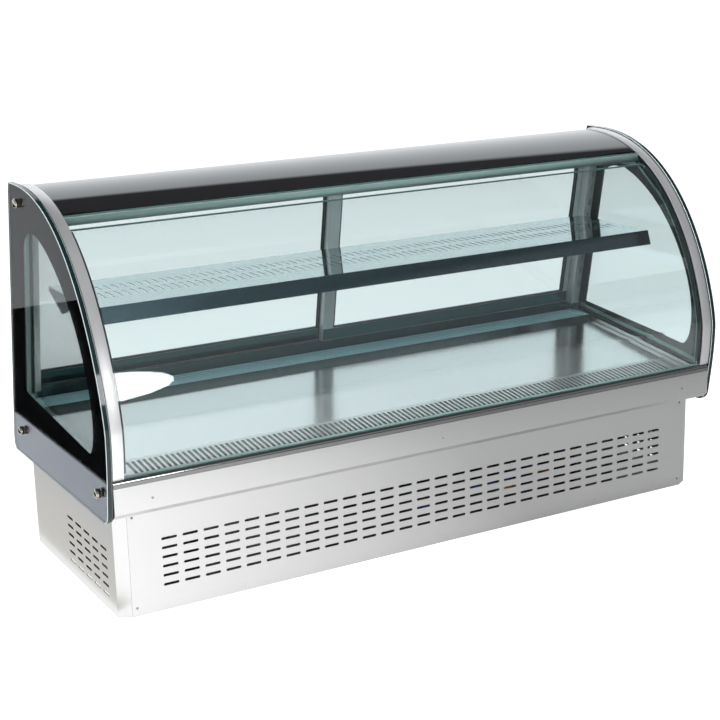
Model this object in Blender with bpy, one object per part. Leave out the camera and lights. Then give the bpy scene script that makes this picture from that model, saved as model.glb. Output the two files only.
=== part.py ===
"""Drop-in refrigerated display showcase with a curved glass front.

Metres, +Z up, +X to the right of a person facing the curved glass, +Y to the
rear. The origin is on the floor plane under the middle of the cabinet.
"""
import math

import bmesh
import bpy
from mathutils import Matrix, Vector

# ---- driving dimensions ----
GAP = 0.0003
HALF_LENGTH = 0.750
END_GLASS = 0.012
SHEET = 0.0015

BASE_HALF_LENGTH = 0.725
BASE_FRONT_Y = -0.245
BASE_REAR_Y = 0.253
BASE_TOP = 0.2235
CHAMFER_X = 0.025
CHAMFER_Y = 0.016

SLOT_PITCH = 0.0455
SLOT_ROW_PITCH = 0.0194
SLOT_LENGTH = 0.0335
SLOT_HEIGHT = 0.0058
FRONT_SLOT_COLUMNS = 28
SLOT_ROWS = 6
FRONT_SLOT_TOP_Z = 0.151
SIDE_SLOT_COLUMNS = 5
SIDE_SLOT_PITCH = 0.0488
SIDE_SLOT_REAR_Y = 0.0247
SIDE_SLOT_TOP_Z = 0.1282

DECK_SLOPE = 0.11
DECK_Z_AT_CENTRE = 0.315
DECK_REAR_Y = 0.118
DECK_FRONT_Y = -0.159
GRILLE_SLOT_FRONT_Y = -0.220
GRILLE_FRONT_Y = -0.262
GRILLE_SLOTS = 112
GRILLE_PITCH = 0.012
GRILLE_SLOT_WIDTH = 0.0085
DECK_HALF_LENGTH = 0.715
RAIL_RISE = 0.010

TUB_FLOOR_Z = 0.226
FASCIA_TOP = 0.304
FASCIA_FACE_Y = -0.2865
FASCIA_REAR_Y = -0.2705
SILL_TOP = 0.361
SILL_FRONT_Y = 0.217

REAR_SLOPE = 0.188
REAR_Y_LOW = 0.295
REAR_Z_LOW = 0.240
REAR_Z_HIGH = 0.803

HEADER_Z = 0.748
DOOR_BOTTOM = 0.3620
DOOR_TOP = 0.7470
DOOR_STILE = 0.028
DOOR_RAIL = 0.029
DOOR_THICKNESS = 0.016
DOOR_OVERLAP = 0.014
INNER_TRACK_INSET = 0.043
OUTER_TRACK_INSET = 0.024

POST_INNER_X = 0.701
POST_OUTER_X = 0.7335
POST_FRONT_INSET = 0.0785
POST_REAR_INSET = 0.0525

SHELF_Z = 0.600
SHELF_FRONT_Y = -0.118
SHELF_REAR_Y = 0.137
SHELF_HALF_LENGTH = 0.685
SHELF_SHEET = 0.0015
SHELF_LIP_DROP = 0.032
SHELF_LIP_LEAN = 0.012

TRIM_WIDTH = 0.023
TRIM_INSET = 0.0015
GLASS_INSET = 0.005
OUTER_PANE = 0.006
PANE_AIR_GAP = 0.009
INNER_PANE = 0.005
BAND_FRONT_Y = -0.044
COVER_REAR_Y = 0.152

BOLT_PLACES = ((0.126, 0.7815), (0.2205, 0.2728), (-0.2448, 0.2717))
BOLT_RADIUS = 0.0105
BOLT_HEAD = 0.011

MACHINE_FOOT = 0.0018
COMPRESSOR_X = 0.33
COMPRESSOR_Y = 0.05
CONDENSER_X = -0.52
FAN_X = -0.470
FAN_Y = 0.0
FAN_Z = 0.106
FAN_RADIUS = 0.078

CONTROL_Z = 0.112
SWITCH_X = (0.470, 0.510)
ROCKER_TILT = math.radians(6)

COLOURS = {
    "steel": ((0.72, 0.72, 0.71), 0.32, 1.0),
    "mirror_steel": ((0.78, 0.79, 0.79), 0.12, 1.0),
    "galvanised": ((0.55, 0.57, 0.58), 0.5, 1.0),
    "aluminium": ((0.80, 0.80, 0.82), 0.3, 1.0),
    "fin_aluminium": ((0.62, 0.64, 0.66), 0.45, 1.0),
    "glass": ((0.82, 0.93, 0.90), 0.05, 0.0),
    "black_glass": ((0.015, 0.015, 0.017), 0.05, 0.0),
    "spacer": ((0.62, 0.78, 0.72), 0.35, 0.0),
    "nickel": ((0.48, 0.40, 0.30), 0.2, 1.0),
    "black_plastic": ((0.02, 0.02, 0.022), 0.45, 0.0),
    "black_paint": ((0.02, 0.02, 0.022), 0.35, 0.0),
    "copper": ((0.72, 0.36, 0.22), 0.3, 1.0),
    "blue_wire": ((0.03, 0.16, 0.60), 0.45, 0.0),
    "orange_wire": ((0.85, 0.32, 0.04), 0.45, 0.0),
    "lamp": ((0.92, 0.95, 0.96), 0.4, 0.0),
    "red_rocker": ((0.55, 0.03, 0.02), 0.35, 0.0),
}


# ---- helpers ----
def clear_scene():
    for thing in list(bpy.data.objects):
        bpy.data.objects.remove(thing, do_unlink=True)


def material(name):
    found = bpy.data.materials.get(name)
    if found:
        return found
    colour, roughness, metallic = COLOURS[name]
    made = bpy.data.materials.new(name)
    made.use_nodes = True
    shader = made.node_tree.nodes["Principled BSDF"]
    shader.inputs["Base Color"].default_value = (*colour, 1.0)
    shader.inputs["Roughness"].default_value = roughness
    shader.inputs["Metallic"].default_value = metallic
    if name == "glass":
        shader.inputs["Transmission Weight"].default_value = 1.0
    made.diffuse_color = (*colour, 1.0)
    return made


def add_object(name, bm, finish):
    bmesh.ops.recalc_face_normals(bm, faces=bm.faces)
    mesh = bpy.data.meshes.new(name)
    bm.to_mesh(mesh)
    bm.free()
    mesh.materials.append(material(finish))
    made = bpy.data.objects.new(name, mesh)
    bpy.context.scene.collection.objects.link(made)
    return made


def extrude_outline(bm, corners, travel):
    """Close the outline with a face and push it along travel into a solid."""
    verts = [bm.verts.new(corner) for corner in corners]
    face = bm.faces.new(verts)
    pushed = bmesh.ops.extrude_face_region(bm, geom=[face])
    moved = [item for item in pushed["geom"] if isinstance(item, bmesh.types.BMVert)]
    bmesh.ops.translate(bm, verts=moved, vec=travel)
    return bm


def bar(name, outline, x_low, x_high, finish):
    """A solid of constant section: outline holds (y, z), swept along X."""
    bm = bmesh.new()
    corners = [(x_low, y, z) for y, z in outline]
    extrude_outline(bm, corners, Vector((x_high - x_low, 0.0, 0.0)))
    return add_object(name, bm, finish)


def block_mesh(bm, low, high):
    size = Vector(high) - Vector(low)
    middle = (Vector(high) + Vector(low)) / 2
    matrix = Matrix.Translation(middle) @ Matrix.Diagonal((*size, 1.0))
    bmesh.ops.create_cube(bm, size=1.0, matrix=matrix)


def block(name, low, high, finish):
    bm = bmesh.new()
    block_mesh(bm, low, high)
    return add_object(name, bm, finish)


def cutter(name, boxes):
    bm = bmesh.new()
    for low, high in boxes:
        block_mesh(bm, low, high)
    made = add_object(name, bm, "steel")
    made.hide_render = True
    made.display_type = "WIRE"
    return made


def apply_boolean(target, tool, operation):
    change = target.modifiers.new(tool.name, "BOOLEAN")
    change.operation = operation
    change.solver = "EXACT"
    change.object = tool


def cut_boxes(target, boxes):
    apply_boolean(target, cutter(target.name + ".cut", boxes), "DIFFERENCE")


def cylinder(name, centre, axis, radius, length, finish, segments=24):
    """A round bar whose middle is at centre and whose axis is along axis."""
    bm = bmesh.new()
    turn = Vector((0, 0, 1)).rotation_difference(Vector(axis)).to_matrix().to_4x4()
    bmesh.ops.create_cone(
        bm, cap_ends=True, segments=segments, radius1=radius, radius2=radius,
        depth=length, matrix=Matrix.Translation(centre) @ turn)
    made = add_object(name, bm, finish)
    made.data.shade_smooth()
    made.data.set_sharp_from_angle(angle=math.radians(35))
    return made


def turned(name, outline, centre, axis, finish, segments=24):
    """Spin an (radius, height) outline that starts and ends on the axis."""
    bm = bmesh.new()
    verts = [bm.verts.new((radius, 0.0, height)) for radius, height in outline]
    edges = [bm.edges.new(pair) for pair in zip(verts, verts[1:])]
    bmesh.ops.spin(
        bm, geom=verts + edges, cent=(0, 0, 0), axis=(0, 0, 1),
        angle=math.tau, steps=segments, use_merge=True)
    bmesh.ops.remove_doubles(bm, verts=bm.verts, dist=1e-6)
    turn = Vector((0, 0, 1)).rotation_difference(Vector(axis)).to_matrix().to_4x4()
    bmesh.ops.transform(bm, matrix=Matrix.Translation(centre) @ turn, verts=bm.verts)
    made = add_object(name, bm, finish)
    made.data.shade_smooth()
    made.data.set_sharp_from_angle(angle=math.radians(35))
    return made


def tube(name, points, radius, finish, resolution=2):
    """A round tube with filled ends; its route runs straight between its end pairs."""
    smooth = [Vector(points[0])] + smooth_route(points[1:-1], 3) + [Vector(points[-1])]
    curve = bpy.data.curves.new(name, "CURVE")
    curve.dimensions = "3D"
    curve.bevel_depth = radius
    curve.bevel_resolution = resolution
    curve.use_fill_caps = True
    spline = curve.splines.new("POLY")
    spline.points.add(len(smooth) - 1)
    for point, place in zip(spline.points, smooth):
        point.co = (*place, 1.0)
    curve.materials.append(material(finish))
    made = bpy.data.objects.new(name, curve)
    bpy.context.scene.collection.objects.link(made)
    return made


def smooth_route(points, steps):
    """Catmull-Rom points through a route, with steps points on each stretch."""
    route = [Vector(point) for point in points]
    ends = [2 * route[0] - route[1]] + route + [2 * route[-1] - route[-2]]
    smooth = []
    for before, start, stop, after in zip(ends, ends[1:], ends[2:], ends[3:]):
        for step in range(steps):
            t = step / steps
            place = (2 * start + (stop - before) * t
                     + (2 * before - 5 * start + 4 * stop - after) * t * t
                     + (3 * start - before - 3 * stop + after) * t ** 3) / 2
            smooth.append(place)
    smooth.append(route[-1])
    return smooth


def bezier(corners, steps):
    """Points along a cubic curve, with steps stretches."""
    first, second, third, fourth = (Vector(corner) for corner in corners)
    points = []
    for step in range(steps + 1):
        t = step / steps
        s = 1 - t
        points.append(first * s ** 3 + second * 3 * s * s * t
                      + third * 3 * s * t * t + fourth * t ** 3)
    return points


def front_curve(inset=0.0, z_low=0.0, y_high=10.0, steps=28):
    """The cabinet's curved front from bottom to rear top, moved inwards by inset.

    Returns (y, z) points from height z_low to depth y_high.
    """
    lower = bezier(((-0.279, 0.236), (-0.286, 0.286), (-0.295, 0.332), (-0.295, 0.395)), steps // 4)
    upper = bezier(((-0.295, 0.395), (-0.295, 0.435), (-0.215, 0.817), (0.138, 0.817)), steps)
    line = lower + upper[1:] + [Vector((0.186, 0.817))]
    moved = []
    for index, point in enumerate(line):
        before = line[max(index - 1, 0)]
        after = line[min(index + 1, len(line) - 1)]
        along = (after - before).normalized()
        inward = Vector((along.y, -along.x))
        moved.append(point + inward * inset)
    return trimmed(moved, z_low, y_high)


def trimmed(line, z_low, y_high):
    """The stretch of a rising line above z_low and in front of y_high."""
    kept = []
    for start, stop in zip(line, line[1:]):
        if start.y < z_low <= stop.y:
            kept.append(start.lerp(stop, (z_low - start.y) / (stop.y - start.y)))
        if stop.y > z_low and start.y >= z_low and start.x < y_high:
            kept.append(start)
        if start.x < y_high <= stop.x:
            kept.append(start.lerp(stop, (y_high - start.x) / (stop.x - start.x)))
    if line[-1].x < y_high:
        kept.append(line[-1])
    return [point for index, point in enumerate(kept)
            if index == 0 or (point - kept[index - 1]).length > 1e-5]


def rear_y(z, inset=0.0):
    """Depth of the leaning rear edge at height z, moved inwards by inset."""
    return REAR_Y_LOW - REAR_SLOPE * (z - REAR_Z_LOW) - inset


def deck_z(y, rise=0.0):
    return DECK_Z_AT_CENTRE + DECK_SLOPE * y + rise


def leaned_section(z_low, z_high, inset_front, inset_rear):
    """Section of a slab that lies parallel to the leaning rear."""
    return [(rear_y(z_low, inset_front), z_low), (rear_y(z_low, inset_rear), z_low),
            (rear_y(z_high, inset_rear), z_high), (rear_y(z_high, inset_front), z_high)]


def curved_band(inset, thickness, z_low, y_high):
    """Section of a bent sheet that follows the curved front."""
    outside = front_curve(inset, z_low, y_high)
    inside = front_curve(inset + thickness, z_low, y_high)
    return [tuple(point) for point in outside + inside[::-1]]


# ---- lower machine housing ----
def slot_boxes_front():
    boxes = []
    for column in range(FRONT_SLOT_COLUMNS):
        x = (column - (FRONT_SLOT_COLUMNS - 1) / 2) * SLOT_PITCH
        for row in range(SLOT_ROWS):
            z = FRONT_SLOT_TOP_Z - row * SLOT_ROW_PITCH
            boxes.append(((x - SLOT_LENGTH / 2, BASE_FRONT_Y - 0.01, z - SLOT_HEIGHT / 2),
                          (x + SLOT_LENGTH / 2, BASE_FRONT_Y + 0.02, z + SLOT_HEIGHT / 2)))
    return boxes


def slot_boxes_side(side):
    boxes = []
    for column in range(SIDE_SLOT_COLUMNS):
        y = SIDE_SLOT_REAR_Y - column * SIDE_SLOT_PITCH
        for row in range(SLOT_ROWS):
            z = SIDE_SLOT_TOP_Z - row * SLOT_ROW_PITCH
            ends = sorted((side * (BASE_HALF_LENGTH - 0.02), side * (BASE_HALF_LENGTH + 0.01)))
            boxes.append(((ends[0], y - SLOT_LENGTH / 2, z - SLOT_HEIGHT / 2),
                          (ends[1], y + SLOT_LENGTH / 2, z + SLOT_HEIGHT / 2)))
    return boxes


def build_base():
    half = BASE_HALF_LENGTH - SHEET - GAP
    front = BASE_FRONT_Y + 2 * SHEET + 2 * GAP
    rear = BASE_REAR_Y - SHEET - GAP
    pan = block("base_pan", (-half + CHAMFER_X, front, 0.0), (half - CHAMFER_X, rear, 0.014), "galvanised")
    cut_boxes(pan, [((-half + CHAMFER_X + SHEET, front + SHEET, SHEET),
                     (half - CHAMFER_X - SHEET, rear - SHEET, 0.05))])
    for side, word in ((-1, "left"), (1, "right")):
        build_base_side(side, "side_panel_" + word)
    back = block("back_panel", (-half, BASE_REAR_Y - SHEET, 0.0), (half, BASE_REAR_Y, BASE_TOP), "steel")
    louvres = []
    for column in range(10):
        for row in range(4):
            x = -0.60 + column * 0.052
            z = 0.055 + row * 0.030
            louvres.append(((x, BASE_REAR_Y - 0.02, z), (x + 0.040, BASE_REAR_Y + 0.02, z + 0.006)))
    cut_boxes(back, louvres)
    front_half = BASE_HALF_LENGTH - CHAMFER_X
    panel = block("louvre_panel", (-front_half, BASE_FRONT_Y, 0.0),
                  (front_half, BASE_FRONT_Y + SHEET, BASE_TOP), "steel")
    cut_boxes(panel, slot_boxes_front())


def build_base_side(side, name):
    """Side sheet with a slanted front corner and a flange behind the front panel."""
    outer = [(BASE_HALF_LENGTH, BASE_REAR_Y), (BASE_HALF_LENGTH, BASE_FRONT_Y + CHAMFER_Y),
             (BASE_HALF_LENGTH - CHAMFER_X + GAP, BASE_FRONT_Y + SHEET + GAP),
             (BASE_HALF_LENGTH - CHAMFER_X - 0.020, BASE_FRONT_Y + SHEET + GAP)]
    inner = [(BASE_HALF_LENGTH - CHAMFER_X - 0.020, BASE_FRONT_Y + 2 * SHEET + GAP),
             (BASE_HALF_LENGTH - CHAMFER_X, BASE_FRONT_Y + 2 * SHEET + GAP),
             (BASE_HALF_LENGTH - SHEET, BASE_FRONT_Y + CHAMFER_Y + SHEET),
             (BASE_HALF_LENGTH - SHEET, BASE_REAR_Y)]
    corners = [(side * x, y, 0.0) for x, y in outer + inner]
    bm = bmesh.new()
    extrude_outline(bm, corners, Vector((0, 0, BASE_TOP)))
    panel = add_object(name, bm, "steel")
    cut_boxes(panel, slot_boxes_side(side))


# ---- refrigeration machine ----
def build_machine():
    outline = [(0.0, MACHINE_FOOT), (0.080, MACHINE_FOOT), (0.080, 0.0080), (0.060, 0.0140), (0.066, 0.034),
               (0.069, 0.060), (0.069, 0.112), (0.064, 0.145), (0.050, 0.166), (0.026, 0.178), (0.0, 0.180)]
    turned("compressor", outline, (COMPRESSOR_X, COMPRESSOR_Y, 0.0), (0, 0, 1), "black_paint")
    coil = block("condenser_coil", (CONDENSER_X - 0.034, -0.105, MACHINE_FOOT),
                 (CONDENSER_X + 0.020, 0.105, 0.200), "fin_aluminium")
    cut_boxes(coil, [((CONDENSER_X - 0.028 + 0.012 * step, -0.099, 0.022),
                      (CONDENSER_X - 0.020 + 0.012 * step, 0.099, 0.30)) for step in range(4)])
    shroud = block("fan_shroud", (FAN_X - 0.024, -0.105, MACHINE_FOOT),
                   (FAN_X + 0.024, 0.105, 0.200), "galvanised")
    bore = cylinder("fan_shroud.cut", (FAN_X, FAN_Y, FAN_Z), (1, 0, 0), FAN_RADIUS + 0.006, 0.2,
                    "galvanised", 32)
    bore.hide_render = True
    bore.display_type = "WIRE"
    apply_boolean(shroud, bore, "DIFFERENCE")
    build_fan("condenser_fan_blade", (FAN_X, FAN_Y, FAN_Z), (1, 0, 0), FAN_RADIUS, 0.022, "fin_aluminium")
    motor = cylinder("condenser_fan_motor", (FAN_X + 0.056, FAN_Y, FAN_Z), (1, 0, 0), 0.036, 0.072,
                     "black_paint")
    bm = bmesh.new()
    block_mesh(bm, (FAN_X + 0.040, -0.008, MACHINE_FOOT), (FAN_X + 0.070, 0.008, FAN_Z))
    stand = add_object("motor_stand.join", bm, "black_paint")
    stand.hide_render = True
    stand.display_type = "WIRE"
    apply_boolean(motor, stand, "UNION")
    cylinder("filter_drier", (-0.02, 0.100, 0.060), (1, 0, 0), 0.012, 0.120, "copper", 16)
    tube("discharge_pipe", [
        (COMPRESSOR_X, COMPRESSOR_Y - 0.070, 0.090), (COMPRESSOR_X, COMPRESSOR_Y - 0.085, 0.090),
        (COMPRESSOR_X - 0.05, -0.075, 0.088), (0.20, -0.090, 0.070), (0.0, -0.130, 0.060),
        (-0.25, -0.150, 0.070), (-0.42, -0.150, 0.120), (-0.50, -0.145, 0.162),
        (CONDENSER_X, -0.120, 0.170), (CONDENSER_X, -0.1055, 0.170)], 0.004, "copper")
    tube("liquid_pipe", [
        (CONDENSER_X, 0.1055, 0.050), (CONDENSER_X, 0.120, 0.050), (-0.40, 0.155, 0.050),
        (-0.22, 0.120, 0.058), (-0.10, 0.100, 0.060), (-0.0804, 0.100, 0.060)], 0.004, "copper")
    tube("suction_pipe", [
        (COMPRESSOR_X, COMPRESSOR_Y + 0.070, 0.085), (COMPRESSOR_X, COMPRESSOR_Y + 0.085, 0.085),
        (0.345, 0.165, 0.100), (0.33, 0.190, 0.130), (0.26, 0.205, 0.165), (0.2, 0.205, 0.200),
        (0.2, 0.205, 0.2252)], 0.005, "copper")
    block("electrical_box", (0.50, -0.10, MACHINE_FOOT), (0.62, 0.04, 0.150), "galvanised")
    tube("wire_blue", [
        (0.4995, -0.060, 0.110), (0.485, -0.060, 0.110), (0.44, -0.080, 0.108), (0.38, -0.120, 0.098),
        (0.25, -0.170, 0.080), (0.14, -0.205, 0.094), (0.05, -0.200, 0.080), (-0.10, -0.185, 0.050),
        (-0.28, -0.10, 0.060), (-0.34, -0.02, 0.095), (-0.362, 0.0, 0.106), (-0.3775, 0.0, 0.106)],
        0.0035, "blue_wire")
    tube("wire_orange", [
        (0.4995, -0.080, 0.080), (0.485, -0.080, 0.080), (0.45, -0.115, 0.078), (0.40, -0.190, 0.082),
        (0.30, -0.214, 0.096), (0.20, -0.212, 0.074), (0.16, -0.160, 0.050), (0.20, 0.02, 0.045),
        (COMPRESSOR_X - 0.088, COMPRESSOR_Y, 0.060), (COMPRESSOR_X - 0.070, COMPRESSOR_Y, 0.060)],
        0.0035, "orange_wire")


def build_fan(name, centre, axis, radius, depth, finish):
    """Hub with five pitched blades, joined into one body, turning about axis."""
    segments = 20
    hub = cylinder(name, (0, 0, 0), (0, 0, 1), radius * 0.30, depth, finish, segments)
    for index in range(5):
        bm = bmesh.new()
        block_mesh(bm, (radius * 0.20, -radius * 0.24, -0.0012), (radius, radius * 0.24, 0.0012))
        pitch = Matrix.Rotation(math.radians(28), 4, "X")
        spin = Matrix.Rotation(math.tau * index / 5, 4, "Z")
        bmesh.ops.transform(bm, matrix=spin @ pitch, verts=bm.verts)
        blade = add_object("%s.blade%d" % (name, index + 1), bm, finish)
        blade.hide_render = True
        blade.display_type = "WIRE"
        blade.location = centre
        blade.rotation_mode = "QUATERNION"
        blade.rotation_quaternion = Vector((0, 0, 1)).rotation_difference(Vector(axis))
        apply_boolean(hub, blade, "UNION")
    hub.location = centre
    hub.rotation_mode = "QUATERNION"
    hub.rotation_quaternion = Vector((0, 0, 1)).rotation_difference(Vector(axis))
    return hub


# ---- insulated tub and deck ----
def build_tub():
    outline = [(-0.262, TUB_FLOOR_Z),
               (rear_y(TUB_FLOOR_Z, 0.008), TUB_FLOOR_Z), (rear_y(0.335, 0.008), 0.335),
               (DECK_REAR_Y + 0.003, 0.320), (DECK_REAR_Y, deck_z(DECK_REAR_Y, -0.0060)),
               (GRILLE_FRONT_Y, deck_z(GRILLE_FRONT_Y, -0.0060))]
    tub = bar("insulated_tub", outline, -0.7165, 0.7165, "galvanised")
    cut_boxes(tub, [((-0.690, -0.235, TUB_FLOOR_Z + 0.020), (0.690, 0.200, 0.40))])
    block("evaporator_coil", (-0.55, 0.030, TUB_FLOOR_Z + 0.0205), (0.55, 0.150, 0.300), "fin_aluminium")
    cylinder("evaporator_fan_motor", (0, -0.06, TUB_FLOOR_Z + 0.0295), (0, 0, 1), 0.022, 0.018,
             "black_plastic")
    build_fan("evaporator_fan_blade", (0, -0.06, TUB_FLOOR_Z + 0.0465), (0, 0, 1), 0.050, 0.014,
              "black_plastic")


def build_deck():
    thick = 0.003
    gap = GAP * 2
    bar("deck_plate", [(DECK_FRONT_Y + gap, deck_z(DECK_FRONT_Y)),
                       (DECK_FRONT_Y + gap, deck_z(DECK_FRONT_Y, -thick)),
                       (DECK_REAR_Y - gap, deck_z(DECK_REAR_Y, -thick)),
                       (DECK_REAR_Y - gap, deck_z(DECK_REAR_Y))],
        -DECK_HALF_LENGTH, DECK_HALF_LENGTH, "steel")
    grille = bar("return_grille", [(DECK_FRONT_Y, deck_z(DECK_FRONT_Y)),
                                   (GRILLE_FRONT_Y, deck_z(GRILLE_FRONT_Y)),
                                   (GRILLE_FRONT_Y, deck_z(GRILLE_FRONT_Y, -thick)),
                                   (DECK_FRONT_Y, deck_z(DECK_FRONT_Y, -thick))],
                 -DECK_HALF_LENGTH, DECK_HALF_LENGTH, "steel")
    slots = []
    for index in range(GRILLE_SLOTS):
        x = (index - (GRILLE_SLOTS - 1) / 2) * GRILLE_PITCH
        slots.append(((x - GRILLE_SLOT_WIDTH / 2, GRILLE_SLOT_FRONT_Y, 0.25),
                      (x + GRILLE_SLOT_WIDTH / 2, DECK_FRONT_Y - 0.006, 0.35)))
    cut_boxes(grille, slots)
    riser = [(DECK_REAR_Y, deck_z(DECK_REAR_Y)), (0.133, 0.342), (0.213, 0.342), (0.213, 0.340),
             (0.134, 0.340), (DECK_REAR_Y + 0.0015, deck_z(DECK_REAR_Y, -0.0022))]
    vent = bar("discharge_grille", riser, -DECK_HALF_LENGTH, DECK_HALF_LENGTH, "steel")
    ribs = []
    for index in range(5):
        y = 0.1395 + 0.0145 * index
        ribs.append(((-0.700, y, 0.33), (0.700, y + 0.009, 0.36)))
    cut_boxes(vent, ribs)
    bar("rear_sill", [(SILL_FRONT_Y, 0.3355), (rear_y(0.3355, 0.013), 0.3355),
                      (rear_y(SILL_TOP, 0.004), SILL_TOP), (SILL_FRONT_Y, SILL_TOP)],
        -0.7165, 0.7165, "steel")
    rail_end = rear_y(SILL_TOP, POST_FRONT_INSET + 0.002)
    for side, word in ((-1, "left"), (1, "right")):
        ends = sorted((side * 0.7170, side * 0.7375))
        bar("end_rail_" + word,
            [(-0.262, TUB_FLOOR_Z), (rear_y(TUB_FLOOR_Z, 0.008), TUB_FLOOR_Z),
             (rear_y(SILL_TOP, 0.008), SILL_TOP - GAP), (rail_end, SILL_TOP - GAP),
             (rail_end, deck_z(rail_end, RAIL_RISE)), (-0.262, deck_z(-0.262, RAIL_RISE))],
            ends[0], ends[1], "steel")


def build_fascia():
    half = HALF_LENGTH - END_GLASS - GAP
    bead = [(FASCIA_FACE_Y + 0.0080 - 0.0095 * math.cos(angle), 0.2945 + 0.0095 * math.sin(angle))
            for angle in (math.radians(step) for step in range(-30, 100, 15))]
    face = [(FASCIA_REAR_Y, 0.224), (FASCIA_FACE_Y + 0.010, 0.224),
            (FASCIA_FACE_Y, 0.234), (FASCIA_FACE_Y, 0.2885)]
    outline = face + bead + [(FASCIA_REAR_Y, FASCIA_TOP)]
    bar("front_fascia", outline, -half, half, "steel")


# ---- glass ----
def end_outline():
    """Closed (y, z) outline of the thick end glass."""
    foot = [Vector((-0.255, 0.212)), Vector((-0.268, 0.216)), Vector((-0.276, 0.2255))]
    heel = [Vector((0.188, 0.8145)), Vector((rear_y(REAR_Z_HIGH), REAR_Z_HIGH)),
            Vector((REAR_Y_LOW, REAR_Z_LOW)), Vector((0.2945, 0.224)), Vector((0.285, 0.212))]
    return [tuple(point) for point in foot + front_curve() + heel]


def inner_pane_outline(inset):
    """Outline of the clear inner pane of an end, drawn in by inset."""
    low_front = -0.2475 + inset
    low_rear = 0.183 - inset
    corner_z = 0.7365 - inset
    foot = RAIL_RISE + 0.003 + inset
    curve = [point for point in front_curve(0.036 + inset, deck_z(low_front, foot), 10.0)
             if point.y < corner_z and point.x < -0.103]
    heel = [Vector((-0.022, HEADER_Z - 0.001 - inset)),
            Vector((rear_y(0.745, 0.085 + inset), HEADER_Z - 0.001 - inset)),
            Vector((rear_y(0.36, 0.083 + inset), deck_z(low_rear, foot)))]
    start = Vector((curve[0].x, deck_z(curve[0].x, foot)))
    return [tuple(point) for point in [start] + curve[1:] + heel]


def build_end_glass(side, word):
    ends = sorted((side * HALF_LENGTH, side * (HALF_LENGTH - END_GLASS)))
    bar("end_glass_" + word, end_outline(), ends[0], ends[1], "black_glass")
    outside = inner_pane_outline(0.0)
    ends = sorted((side * 0.7240, side * 0.7285))
    bar("inner_pane_" + word, outside, ends[0], ends[1], "glass")
    build_spacer(side, "pane_spacer_" + word)
    for index, (y, z) in enumerate(BOLT_PLACES):
        head = [(0.0, GAP), (0.0085, GAP), (0.0085, 0.0045), (BOLT_RADIUS, 0.0045), (BOLT_RADIUS, 0.0085),
                (0.0080, BOLT_HEAD), (0.0, BOLT_HEAD + 0.0008)]
        turned("bolt_%s_%d" % (word, index + 1), head, (side * HALF_LENGTH, y, z), (side, 0, 0), "nickel", 20)


def build_spacer(side, name):
    """A thin ring between the two panes of an end."""
    bm = bmesh.new()
    outer = inner_pane_outline(0.002)
    inner = inner_pane_outline(0.010)
    x_start = side * (0.7285 + GAP)
    x_stop = side * (HALF_LENGTH - END_GLASS - GAP)
    outside = [bm.verts.new((x_start, y, z)) for y, z in outer]
    inside = [bm.verts.new((x_start, y, z)) for y, z in inner]
    edges = [bm.edges.new(pair) for ring in (outside, inside) for pair in zip(ring, ring[1:] + ring[:1])]
    filled = bmesh.ops.triangle_fill(bm, use_beauty=True, use_dissolve=False, edges=edges)
    faces = [item for item in filled["geom"] if isinstance(item, bmesh.types.BMFace)]
    pushed = bmesh.ops.extrude_face_region(bm, geom=faces)
    moved = [item for item in pushed["geom"] if isinstance(item, bmesh.types.BMVert)]
    bmesh.ops.translate(bm, verts=moved, vec=(x_stop - x_start, 0, 0))
    return add_object(name, bm, "spacer")


def build_front_glass():
    half = HALF_LENGTH - END_GLASS - GAP
    bar("front_glass", curved_band(GLASS_INSET, OUTER_PANE, FASCIA_TOP + GAP, BAND_FRONT_Y),
        -half, half, "glass")
    bar("top_cover", top_cover_section(), -half, half, "black_glass")
    inset = GLASS_INSET + OUTER_PANE + PANE_AIR_GAP
    bar("front_glass_inner", curved_band(inset, INNER_PANE, deck_z(-0.26, 0.003), BAND_FRONT_Y - 0.012),
        -0.7165, 0.7165, "glass")
    for side, word in ((-1, "left"), (1, "right")):
        ends = sorted((side * half, side * (half - TRIM_WIDTH)))
        section = curved_band(TRIM_INSET, GLASS_INSET - TRIM_INSET - GAP, FASCIA_TOP + GAP, COVER_REAR_Y)
        bar("curved_trim_" + word, section, ends[0], ends[1], "aluminium")


def top_cover_section():
    """Bent black glass that carries the curve on to the rear top edge."""
    outside = [point for point in front_curve(GLASS_INSET, 0.0, COVER_REAR_Y) if point.x > BAND_FRONT_Y + GAP]
    inside = [point for point in front_curve(GLASS_INSET + OUTER_PANE, 0.0, COVER_REAR_Y)
              if point.x > BAND_FRONT_Y + 0.002]
    return [tuple(point) for point in outside + inside[::-1]]


# ---- rear frame, doors and header ----
def build_rear_frame():
    half = HALF_LENGTH - END_GLASS - GAP
    front = -0.030
    roof = [point for point in front_curve(GLASS_INSET + OUTER_PANE + GAP, 0.0, COVER_REAR_Y)
            if point.x > front]
    outline = [tuple(point) for point in roof]
    outline += [(COVER_REAR_Y, HEADER_Z + 0.004), (rear_y(HEADER_Z, 0.010), HEADER_Z + 0.004),
                (rear_y(HEADER_Z, 0.010), HEADER_Z), (0.090, HEADER_Z), (0.086, HEADER_Z + 0.014),
                (front, HEADER_Z + 0.014)]
    bar("top_header", outline, -half, half, "aluminium")
    bar("top_lamp", [(-0.010, HEADER_Z + 0.001), (0.022, HEADER_Z + 0.001), (0.022, HEADER_Z + 0.0135),
                     (-0.010, HEADER_Z + 0.0135)], -0.660, 0.660, "lamp")
    for side, word in ((-1, "left"), (1, "right")):
        ends = sorted((side * POST_INNER_X, side * POST_OUTER_X))
        post = bar("corner_post_" + word,
                   leaned_section(SILL_TOP + GAP, HEADER_Z - GAP, POST_FRONT_INSET, POST_REAR_INSET),
                   ends[0], ends[1], "steel")
        keyholes = []
        for index in range(9):
            z = 0.405 + 0.036 * index
            x = side * 0.7155
            keyholes.append(((x - 0.003, rear_y(z, 0.095), z), (x + 0.003, rear_y(z, 0.068), z + 0.016)))
        cut_boxes(post, keyholes)


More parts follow.
